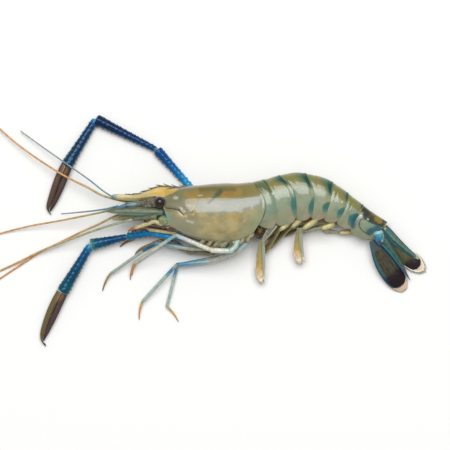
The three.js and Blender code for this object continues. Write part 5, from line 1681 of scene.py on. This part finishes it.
LEG_LIFT = 2.5  # the left swimming legs stand just under the rings' hems
RIBS = ((0.0, 0.2, 0.25), (0.5, 0.1, 0.12), (-0.5, 0.1, 0.12))
HANGING: dict[str, tuple[Blade, Blade]] = {"left_pleopod_1": (Blade((-15.5, -28.0, 15.6),
    ((14, 266, 10.4), (11.5, 272, 7.4), (3.8, 288, 6.6)), 2.6, 0.5, BladeKind.FRAYED, ribs=RIBS,
    fringe=Fringe(0.62, 2.6, 80, 0.13, ragged=0.7), cup=0.2), Blade((-14.0, -27.6, 16.8),
    ((14, 272, 11.4), (11, 271, 8.4), (3, 262, 7.6)), 1.15, 0.45, BladeKind.STRAP, ribs=((0.0, 0.3, 0.25),),
    fringe=Fringe(0.85, 1.6, 20, 0.1), cup=0.2, marks=("grey",))),
    "left_pleopod_4": (Blade((10.6, -19.6, 15.6), ((11.6, 267, 10.2), (9, 276, 8.0), (3.0, 280, 7.2)), 2.6, 0.5,
    BladeKind.FRAYED, ribs=RIBS, fringe=Fringe(0.6, 3.2, 80, 0.13, ragged=0.9), cup=0.2),
    Blade((12.0, -19.6, 16.8), ((11.8, 274, 11.2), (10.8, 280, 8.4)), 1.35, 0.45, BladeKind.STRAP,
    ribs=((0.0, 0.3, 0.25),), fringe=Fringe(0.8, 2.2, 24, 0.1, ragged=0.8), cup=0.2, marks=("grey",)))}
BROAD_STALK = Blade((-6.2, -16.9, 21.8), ((7.5, 235, 20), (6.4, 235, 16.4)), 2.7, 1.5, BladeKind.WEDGE,
    ribs=((0.86, 0.14, 0.25), (-0.86, 0.14, 0.25)), cup=0.1)


@dataclass(frozen=True)
class SwimmingLegs:
    """The swimming legs under the tail: a thick stalk that carries two thin blades.

    Attributes:
        chains: where each starts, with rows of [length, heading, end height, radius]. A hanging one has
            only the row of its stalk.
        hanging: blades of the two that hang straight down, a tan one that ends in loose strands and a grey strap.
        broad: the broad stalk of the first one on the left.
        finishes: of the stalk and the blades, where they aren't the usual ones.
    """

    chains: dict[str, Chain] = field(default_factory=lambda: SWIMMERS)
    hanging: dict[str, tuple[Blade, Blade]] = field(default_factory=lambda: HANGING)
    broad: Blade = BROAD_STALK
    finishes: dict[str, tuple[Cuticle, Cuticle]] = field(default_factory=lambda: {"left_pleopod_1": (GREY_STALK,
        TAN_BLADE), "left_pleopod_4": (YELLOW_STALK, TAN_BLADE), "left_pleopod_5": (YELLOW_STALK, CREAM_BLADE),
        "right_pleopod_5": (YELLOW_STALK, CREAM_BLADE)})

    def _folded(self, knee: Array, rows: Sequence[Row], lift: float) -> Iterator[Blade]:
        """Yields the two blades that a leg folds against the belly.

        Args:
            knee: end of the stalk.
            rows: the chain past the knee.
            lift: how far the leg stands above its chain.

        Yields:
            The upper blade, then the lower one.
        """
        widest = max(row[3] for row in rows)
        for sign in (1, -1):
            yield Blade(tuple(knee + [0.0, 0.0, lift] + np.array([0.0, 0.6, 0.25 * sign])),
                tuple((row[0], row[1] + 1.5 * sign, row[2] + 0.5 * sign) for row in rows),
                widest * (0.66 + 0.16 * sign), 0.45, BladeKind.SWIMMER, ribs=((0.55 * sign, 0.16, 0.28),
                (-0.3, 0.08, 0.1), (0.1, 0.06, 0.08)), fringe=Fringe(0.45, 1.9, 44, 0.08), cup=0.2, turn=8.0 * sign)

    def build(self) -> None:
        """Builds and dresses every swimming leg."""
        for name, (base, rows) in self.chains.items():
            stalk_finish, blade_finish = self.finishes.get(name, (YELLOW_STALK, OLIVE_BLADE))
            stalk = Shape()
            length, heading, height, radius = rows[0]
            lift = LEG_LIFT if name.startswith("left") else 0.0
            leaf = Blade((*base[:2], base[2] + lift), ((1.06 * length, heading, height + lift),), 1.25 * radius,
                0.8 * radius, BladeKind.LEAF, ribs=((0.15, 0.35, 0.35),), cup=0.15)
            (self.broad if stalk_finish is GREY_STALK else leaf).fill(stalk)
            stalk.build(f"{name}_stalk", "swimmer", stalk_finish, name)
            blades = Shape()
            for blade in self.hanging.get(name) or self._folded(joints_of(base, rows)[1], rows[1:], lift):
                blade.fill(blades, rows=48, around=32)
            blades.build(f"{name}_blades", "swimmer", blade_finish)


# ---------------------------------------------------------------- head


EYE_CORNEA = Cuticle(
    # Faceted cornea: near-black purple, mirror-wet
    name="eye_cornea", tones=("#1a0b0e", "#261318"), mottle=1.5, roughness=0.2, film=1.0, film_roughness=0.04,
    gloss=0.1, glow=0.0, pit=0.12, pit_depth=0.004, layers=(Layer("collar", "#b9a58e", 0.3, 0.5, 0.7),
    Layer("stalk", "#716c52", 0.1, 1), Layer("ash", "#9a9488", 0.5, 1.5, 0.6),
    Layer("speck", "#2b2419", 0.6, 0.55, 0.9)))

HEAD_CUTICLE = Cuticle(
    # Skin of the face: brown and olive, freckled dark
    name="face_chitin", tones=("#38321f", "#504a30", "#666044"), mottle=2.0,
    layers=(Layer("speck", "#2c2217", 0.6, 0.6, 0.85),), film=0.15, gloss=0.2, pit_depth=0.06)

MOUTH_CUTICLE = Cuticle(
    # Jaws and the roots of the legs: soft and wet, painted dark brown as the shade of the hollow under the head
    name="mouth_skin_painted_shade", tones=("#2f2112", "#4a3720", "#6b5634"), mottle=2.2, pit_depth=0.08)

TEAL_CUTICLE = Cuticle(
    # Feeler bases and scales: clear grey-green chitin with teal edges
    name="feeler_base_chitin", tones=("#4d5541", "#5d664d", "#737a5c"), mottle=2.5,
    layers=(Layer("streak", "#3d4636", 0.5, 1.5, 0.65), Layer("rib", "#8f9a86", 0.4, 0.8, 0.5),
    Layer("left_edge", "#5c8c86", 0.5, 1.5, 0.75), Layer("right_edge", "#5a5f45", 0.3, 1, 0.7),
    Layer("speck", "#2f2a1c", 0.6, 0.6, 0.8), Layer("blue", "#2a6a86", 0.4, 1.5, 0.9),
    Layer("bulb", "#7c8560", 0.2, 1.5, 0.8), Layer("teal", "#6f9a90", 0.4, 1.5, 0.65),
    Layer("dot", "#c9a23c", 0.4, 0.6, 0.85), Layer("bristle", "#a9a680", 0.1, 1, 0.8)), film=0.2, gloss=0.25,
    glow=0.2)

STEM_CUTICLE = Cuticle(
    # Stem of the short feelers: olive at its root, then blue, with pale joints
    name="feeler_stem_chitin", ramp=((0, "#5f5f44"), (0.12, "#6b7a6e"), (0.3, "#6f8a88"), (0.42, "#5f8086"),
    (0.5, "#34525e"), (0.62, "#52788a"), (1, "#457086")), layers=(Layer("soft", "#24404c", 0.3, 0.8, 0.8),),
    mottle=1.2, film=0.5, glow=0.15)

FAR_SCALE_CUTICLE = Cuticle(
    # Scale in the shade of the head: clear chitin painted in the brown of that shade
    name="far_scale_painted_shade", tones=("#857a55", "#9a8e68", "#a89f7c"), mottle=2.5,
    layers=(Layer("streak", "#7a6a45", 0.4, 1.5, 0.5), Layer("bristle", "#c4b896", 0.1, 1, 0.8)), film=0.3,
    glow=0.25)


@dataclass(frozen=True)
class Ball:
    """An oval lump with a little unevenness.

    Attributes:
        centre: its middle.
        radii: its half sizes.
        uneven: millimetres of unevenness.
        size: millimetres from one swell of it to the next.
    """

    centre: Point
    radii: Point
    uneven: float = 0.1
    size: float = 2.0

    def grid(self, rows: int = 28, around: int = 36) -> tuple[Array, Array]:
        """Returns rows of points from pole to pole along X, and the outward directions."""
        polar = np.linspace(0.02, math.pi - 0.02, rows)[:, None]
        turn = (2 * math.pi * np.arange(around) / around)[None]
        line = np.stack([-np.cos(polar) + 0 * turn, np.sin(polar) * np.cos(turn), np.sin(polar) * np.sin(turn)], -1)
        points = np.asarray(self.centre) + line * np.asarray(self.radii)
        outward = unit(line / np.asarray(self.radii))
        return points + outward * (self.uneven * ripple(points, self.size))[..., None], outward


@dataclass(frozen=True)
class Head:
    """The face between the shield and the feelers: eyes, feeler bases, scales and jaws.

    Attributes:
        eye: plan of the eye's middle.
        eye_offset: how far it stands off the centre plane.
        eye_radius: radius of the cornea.
        stalk: plan of the eyestalk's root.
        bulb: plan of the antenna base's bulb.
    """

    eye: tuple[float, float] = (-85.9, -1.6)
    eye_offset: float = 8.9
    eye_radius: float = 3.8
    stalk: tuple[float, float] = (-99.5, -3.4)
    bulb: tuple[float, float] = (-83.3, -14.5)

    def _build_eye(self, side: str, sign: float) -> None:
        """Builds an eye: a cornea set in a collar at the end of a freckled stalk."""
        middle = np.array([*self.eye, HEAD_HEIGHT + sign * self.eye_offset])
        shape = Shape()
        ball = Ball(tuple(middle), (self.eye_radius,) * 3, uneven=0.0)
        points, outward = ball.grid(40, 48)
        root = np.array([*self.stalk, HEAD_HEIGHT + sign * 4.6])
        backward = unit(root - middle)
        facing = outward @ backward
        shape.skin(points, collar=0.9 * hump(0.86, 0.1, facing), stalk=ease(0.86, 0.96, facing))
        steps = np.linspace(0, 1, 40)
        centres = root + (middle - [0.0, 0.0, 1.2 * sign] - root) * steps[:, None]
        radius = np.interp(steps, [0, 0.06, 0.2, 0.5, 0.85, 1], [0.8, 2.2, 2.8, 3.1, 3.3, 2.6])
        grid = swept(centres, radius, 0.8 * radius, 30)
        grid = roughened(grid, centres[:, None], 0.18, 1.4)
        shape.skin(grid, stalk=1.0, speck=0.55 + 0.25 * ripple(grid, 0.9, 1), ash=0.5 + 0.5 * ripple(grid, 2.5, 1))
        lid, _ = Ball(tuple(middle - [0.0, 0.0, 1.3 * sign]), (4.2, 4.1, 2.0), 0.12, 1.6).grid()
        shape.skin(lid, stalk=1.0, speck=0.3)
        shape.build(f"{side}_eyeball", "eye", EYE_CORNEA, f"{side}_eye")

    def _build_feeler_base(self, side: str, sign: float) -> None:
        """Builds the bulb that carries the long feeler, and the stalk of that feeler."""
        shape = Shape()
        centre = (*self.bulb, HEAD_HEIGHT + sign * 5.6)
        points, _ = Ball(centre, (4.1, 3.6, 2.8), 0.5, 3.0).grid()
        spots = dots(points, ((-85.2, -13.2), (-81.9, -15.6)), 0.7)
        rim = ease(0.5, 1.0, np.hypot(points[..., 0] + 84.0, points[..., 1] + 15.4) / 4.2)
        shape.skin(points, dot=spots, bulb=1.0, teal=0.9 * rim * ease(-17, -14, points[..., 1]))
        chain: Chain = ((-88, -11.5, 27.3), ((15, 187, 25, 1.7, 1.1),))
        if side == "right":
            chain = ((-88, -12, 14), ((14, 172, 14.3, 1.7, 1.1),))
        base, rows = chain
        for share, extra in ((0.0, 0.5), (0.34, 0.25), (0.66, 0.1)):
            start = joints_of(base, rows)[0] * (1 - share) + joints_of(base, rows)[1] * share
            length = rows[0][0] * (1 - share)
            Limb("", (), "", tuple(start), ((length + 1.5, rows[0][1], rows[0][2], 1.5 + extra, 1.0),),
                TEAL_CUTICLE).fill(shape)
        shape.build(f"{side}_feeler_bulb", "teal_cuticle", TEAL_CUTICLE, f"{side}_antenna_base")

    def _build_antennule(self, side: str) -> None:
        """Builds the three-jointed stem of the short feelers."""
        chains: dict[str, Chain] = {"left": ((-98.5, -3.0, 22.8), ((3.5, 178, 24.4, 2.1, 2.1),
            (7, 187, 25.0, 2.0, 1.9), (10, 198, 23.8, 1.6, 0.8))), "right": ((-96.5, -2.8, 17.4),
            ((4.5, 174, 17, 1.8, 1.6), (5.5, 170, 16.6, 1.5, 0.9)))}
        base, rows = chains[side]
        shape = Shape()
        Limb("", (), "", base, rows, STEM_CUTICLE).fill(shape)
        shape.build(f"{side}_antennule_stem", "teal_cuticle", STEM_CUTICLE, f"{side}_antennule")

    def _build_scale(self, side: str) -> None:
        """Builds the flat scale beside the feelers, with its ribs and its fringe."""
        chains: dict[str, Chain] = {"left": ((-84, -8.6, 26.4), ((20, 178, 26.2), (19.5, 180, 24.4))),
            "right": ((-89, -10.5, 16), ((16, 184, 16.4), (13, 188, 16.8)))}
        base, rows = chains[side]
        # the far scale wears the head's shade as painted brown
        finish = TEAL_CUTICLE if side == "left" else FAR_SCALE_CUTICLE
        shape = Shape()
        Blade(base, rows, 3.0, 0.7, BladeKind.SCALE, ribs=((-0.35, 0.05, 0.25), (0.0, 0.04, 0.15), (0.3, 0.05, 0.2),
            (0.7, 0.06, 0.15)), fringe=Fringe(0.5, 2.4, 70, 0.08)).fill(shape)
        shape.build(f"{side}_scale", "teal_cuticle", finish, f"{side}_antenna_scale")

    def _build_face(self) -> None:
        """Builds the skin of the face and the jaws under it, whose dark brown is painted shade."""
        path = smooth_path(((-75, -9, 20, 6.6, 6.1), (-84, -9, 20, 6.8, 5.4), (-91, -7, 20, 5.4, 4.6),
            (-98, -5.5, 20, 3.4, 4.4)), 48)
        ends = np.interp(np.linspace(0, 1, 48), [0, 0.9, 0.97, 1], [1, 1, 0.8, 0.4])
        grid = swept(path[:, :3], path[:, 3] * ends, path[:, 4] * ends, 40)
        grid = roughened(grid, path[:, None, :3], 0.3, 2.2)
        face = Shape()
        face.skin(grid, speck=0.45 + 0.25 * ripple(grid, 1.4, 1))
        face.build("face", "head_skin", HEAD_CUTICLE, "head_front")
        # the jaws' dark brown is painted shade of the hollow under the head
        jaws = Shape()
        for sign in SIDE_SIGNS.values():
            height = HEAD_HEIGHT + sign * 3.4
            for x, y, long, tall in ((-82, -17.4, 5.5, 2.6), (-89, -16.6, 4.6, 2.2), (-76, -19.4, 5.5, 2.6),
                (-94, -15, 3.4, 1.7), (-70, -21, 5.5, 2.6)):
                points, _ = Ball((x, y, height), (long, tall, 3.4), 0.35, 2.4).grid(24, 28)
                jaws.skin(points)
        jaws.build("jaws", "underside", MOUTH_CUTICLE)

    def build(self) -> None:
        """Builds and dresses the head."""
        self._build_face()
        for side, sign in SIDE_SIGNS.items():
            self._build_eye(side, sign)
            self._build_feeler_base(side, sign)
            self._build_antennule(side)
            self._build_scale(side)


UNDERSIDE_CUTICLE = Cuticle(
    # Leg roots and gills: pale soft skin, with dark brown painted shade in the folds between
    name="underside_skin", tones=("#6d664a", "#8f876a", "#a8a285"), mottle=2.5,
    layers=(Layer("fold", "#4a3318", 0.3, 1, 0.9), Layer("hinge", "#3a2608", 0.2, 2, 0.95, 0.2),
    Layer("band", "#7d6a3c", 0.4, 1.5, 0.9, 0.4)), film=0.3, gloss=0.2, glow=0.25)


BELLY_CUTICLE = Cuticle(
    # Belly between the swimming legs: soft brown-olive skin, darkened as painted shade of the blades crowded over it
    name="belly_skin_and_shade", tones=("#5f5432", "#77693f", "#8a7c50"), mottle=2.0,
    layers=(Layer("fold", "#463b1e", 0.4, 1.5, 0.7),), film=0.3, glow=0.2)


@dataclass(frozen=True)
class Underside:
    """The soft skin between the legs, with a swollen root for each leg.

    Attributes:
        body: the bent body.
        first: distance along the spine of the first leg root.
        pitch: from one leg root to the next.
        roots: leg roots on each side.
        root: half sizes of a root.
        drop: how far below the body's middle they lie, as a share of its half depth.
        rows: heights of the near and far roots above the head's centre plane.
        lean: degrees that they lean back.
        hinge: the dark skin between the shield, the first ring and the legs, as middle and half sizes.
    """

    body: Body
    first: float = 33.2
    pitch: float = 4.4
    roots: int = 7
    root: Point = (2.0, 4.9, 2.8)
    drop: float = 0.98
    rows: tuple[float, float] = (2.2, -7.5)
    lean: float = -38.0
    hinge: tuple[Point, Point] = ((-17.5, -20.0, 12.0), (6.4, 7.4, 8.0))

    def _belly(self) -> None:
        """Builds the soft skin of the tail's belly, which shows between the swimming legs and is dark as painted
        shade between them.
        """
        distances = np.linspace(66, 142, 90)
        centre, back, _, depth, width = self.body.frame(distances)
        path = centre - back * (0.86 * depth)[:, None]
        swell = ease(64, 76, distances) * ease(146, 122, distances) * 0.9 + 0.1
        grid = swept(path, 0.3 * depth * swell, 0.3 * width * swell, 40)
        grid = roughened(grid, path[:, None], 0.3, 2.2)
        grid[..., 2] = np.maximum(grid[..., 2], 0.1)
        shape = Shape()
        shape.skin(grid, fold=0.5 + 0.3 * ripple(grid, 2.4, 1))
        shape.build("belly_skin_and_shade", "underside", BELLY_CUTICLE)

    def build(self) -> None:
        """Builds and dresses the underside."""
        self._belly()
        distances = np.linspace(4, 60, 60)
        centre, back, _, depth, width = self.body.frame(distances)
        path = centre - back * (0.78 * depth)[:, None]
        share = (distances - 4) / 56
        swell = 0.55 + 0.45 * np.sqrt(np.clip(np.sin(np.pi * share), 0, 1))
        grid = swept(path, 0.26 * depth * swell, 0.34 * width * swell, 40)
        grid = roughened(grid, path[:, None], 0.35, 2.5)
        shape = Shape()
        # dark brown nearly all over, partly painted shade between the legs
        shape.skin(grid, fold=0.8 + 0.2 * ripple(grid, 3.0, 1))
        skin, _ = Ball(*self.hinge, 0.4, 3.0).grid(36, 44)
        band = 0.9 * stroke(skin, ((-13.0, -17.8), (-16.4, -22.0)), 1.3)
        band = band + 0.4 * stroke(skin, ((-20.0, -24.5), (-19.4, -27.5)), 1.2)
        shape.skin(skin, fold=0.6, hinge=1.0, band=band)
        lean = math.radians(self.lean)
        for height in self.rows:
            for i in range(self.roots):
                at = self.first + i * self.pitch
                _, _, _, deep, _ = self.body.frame(np.array(at))
                middle = self.body.place(at, -self.drop * float(deep), 0.0)
                middle[2] = HEAD_HEIGHT + height
                points, _ = Ball((0.0, 0.0, 0.0), self.root, 0.25, 2.0).grid(24, 28)
                x, y = points[..., 0].copy(), points[..., 1].copy()
                points[..., 0] = x * math.cos(lean) - y * math.sin(lean)
                points[..., 1] = x * math.sin(lean) + y * math.cos(lean)
                # each root darkens towards its sides: painted shade in the gaps between neighbouring roots
                shape.skin(points + middle, fold=ease(0.6, 1.0, np.abs(x) / self.root[0]))
        shape.build("leg_roots", "underside", UNDERSIDE_CUTICLE, "thorax_underside")


# ---------------------------------------------------------------- studio


@dataclass(frozen=True)
class Studio:
    """White table, one great soft lamp, a white sky and the camera straight above.

    Attributes:
        centre: the point under the middle of the view, in millimetres.
        height: of the camera above the table.
        view_width: width of the view at the height of the middle of the body.
        view_height: that height.
        lamp_distance: metres from the prawn to the lamp.
        sky: brightness of the white sky.
        table_half: metres from the middle of the table to its edge.
        far: metres beyond which the camera sees nothing.
    """

    centre: tuple[float, float] = (-40.6, -17.5)
    height: float = 2500.0
    view_width: float = 315.0
    view_height: float = 10.0
    lamp_distance: float = 3.2
    sky: float = 0.42
    table_half: float = 12.0
    far: float = 20.0

    def _lamp(self, name: str, tilt: float, heading: float, size: tuple[float, float], radiance: float) -> None:
        """Hangs a rectangular softbox that faces the prawn.

        Args:
            name: of the lamp.
            tilt: degrees from straight above.
            heading: degrees round from +X at which it hangs.
            size: degrees that it spans, across and away.
            radiance: brightness of its face.
        """
        away, turn = math.radians(tilt), math.radians(heading)
        target = Vector((self.centre[0] * MM, self.centre[1] * MM, 0.01))
        line = Vector((math.sin(away) * math.cos(turn), math.sin(away) * math.sin(turn), math.cos(away)))
        width, depth = (2 * self.lamp_distance * math.tan(math.radians(span / 2)) for span in size)
        lamp = bpy.data.lights.new(name, "AREA")
        lamp.shape, lamp.energy = "RECTANGLE", radiance * math.pi * width * depth
        lamp.size, lamp.size_y = width, depth
        holder = bpy.data.objects.new(name, lamp)
        holder.location = target + self.lamp_distance * line
        holder.rotation_euler = (-line).to_track_quat("-Z", "Y").to_euler()
        bpy.context.scene.collection.objects.link(holder)

    def _table(self) -> None:
        """Lays the white table."""
        mesh = bpy.data.meshes.new("table")
        half = self.table_half
        mesh.from_pydata([(-half, -half, 0), (half, -half, 0), (half, half, 0), (-half, half, 0)], [], [(0, 1, 2, 3)])
        material = bpy.data.materials.new("white_acrylic_sheet")
        material.use_nodes = True
        shader = material.node_tree.nodes["Principled BSDF"]
        shader.inputs["Base Color"].default_value = linear("#ebebe9")
        shader.inputs["Roughness"].default_value = 0.7
        shader.inputs["Specular IOR Level"].default_value = 0.2
        mesh.materials.append(material)
        table = bpy.data.objects.new("table", mesh)
        bpy.context.scene.collection.objects.link(table)

    def build(self) -> None:
        """Sets up the table, the lamp, the sky and the camera."""
        scene = bpy.context.scene
        scene.view_settings.view_transform = "Standard"
        self._table()
        self._lamp("great_softbox", tilt=19.0, heading=88.0, size=(49.0, 36.0), radiance=5.5)
        world = bpy.data.worlds.new("white_studio")
        world.use_nodes = True
        light = world.node_tree.nodes["Background"]
        light.inputs["Color"].default_value = (1.0, 1.0, 1.0, 1.0)
        light.inputs["Strength"].default_value = self.sky
        scene.world = world
        camera = bpy.data.cameras.new("camera")
        camera.sensor_fit = "HORIZONTAL"
        camera.angle = 2 * math.atan(self.view_width / 2 / (self.height - self.view_height))
        camera.clip_end = self.far
        holder = bpy.data.objects.new("camera", camera)
        holder.location = (self.centre[0] * MM, self.centre[1] * MM, self.height * MM)
        scene.collection.objects.link(holder)
        scene.camera = holder


def main() -> None:
    """Builds the prawn and its studio."""
    logging.basicConfig(level=logging.INFO, format="%(name)s: %(message)s")
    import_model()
    body = Body()
    parts = (HeadShield(body), TailRings(body), Underside(body), Head(), WalkingLegs(), ClawArm("left", ARMS["left"]),
        ClawArm("right", ARMS["right"]), Feelers(), SwimmingLegs(), TailFan(), Studio())
    for part in parts:
        LOG.info("building %s", type(part).__name__)
        part.build()


if __name__ == "__main__":
    main()
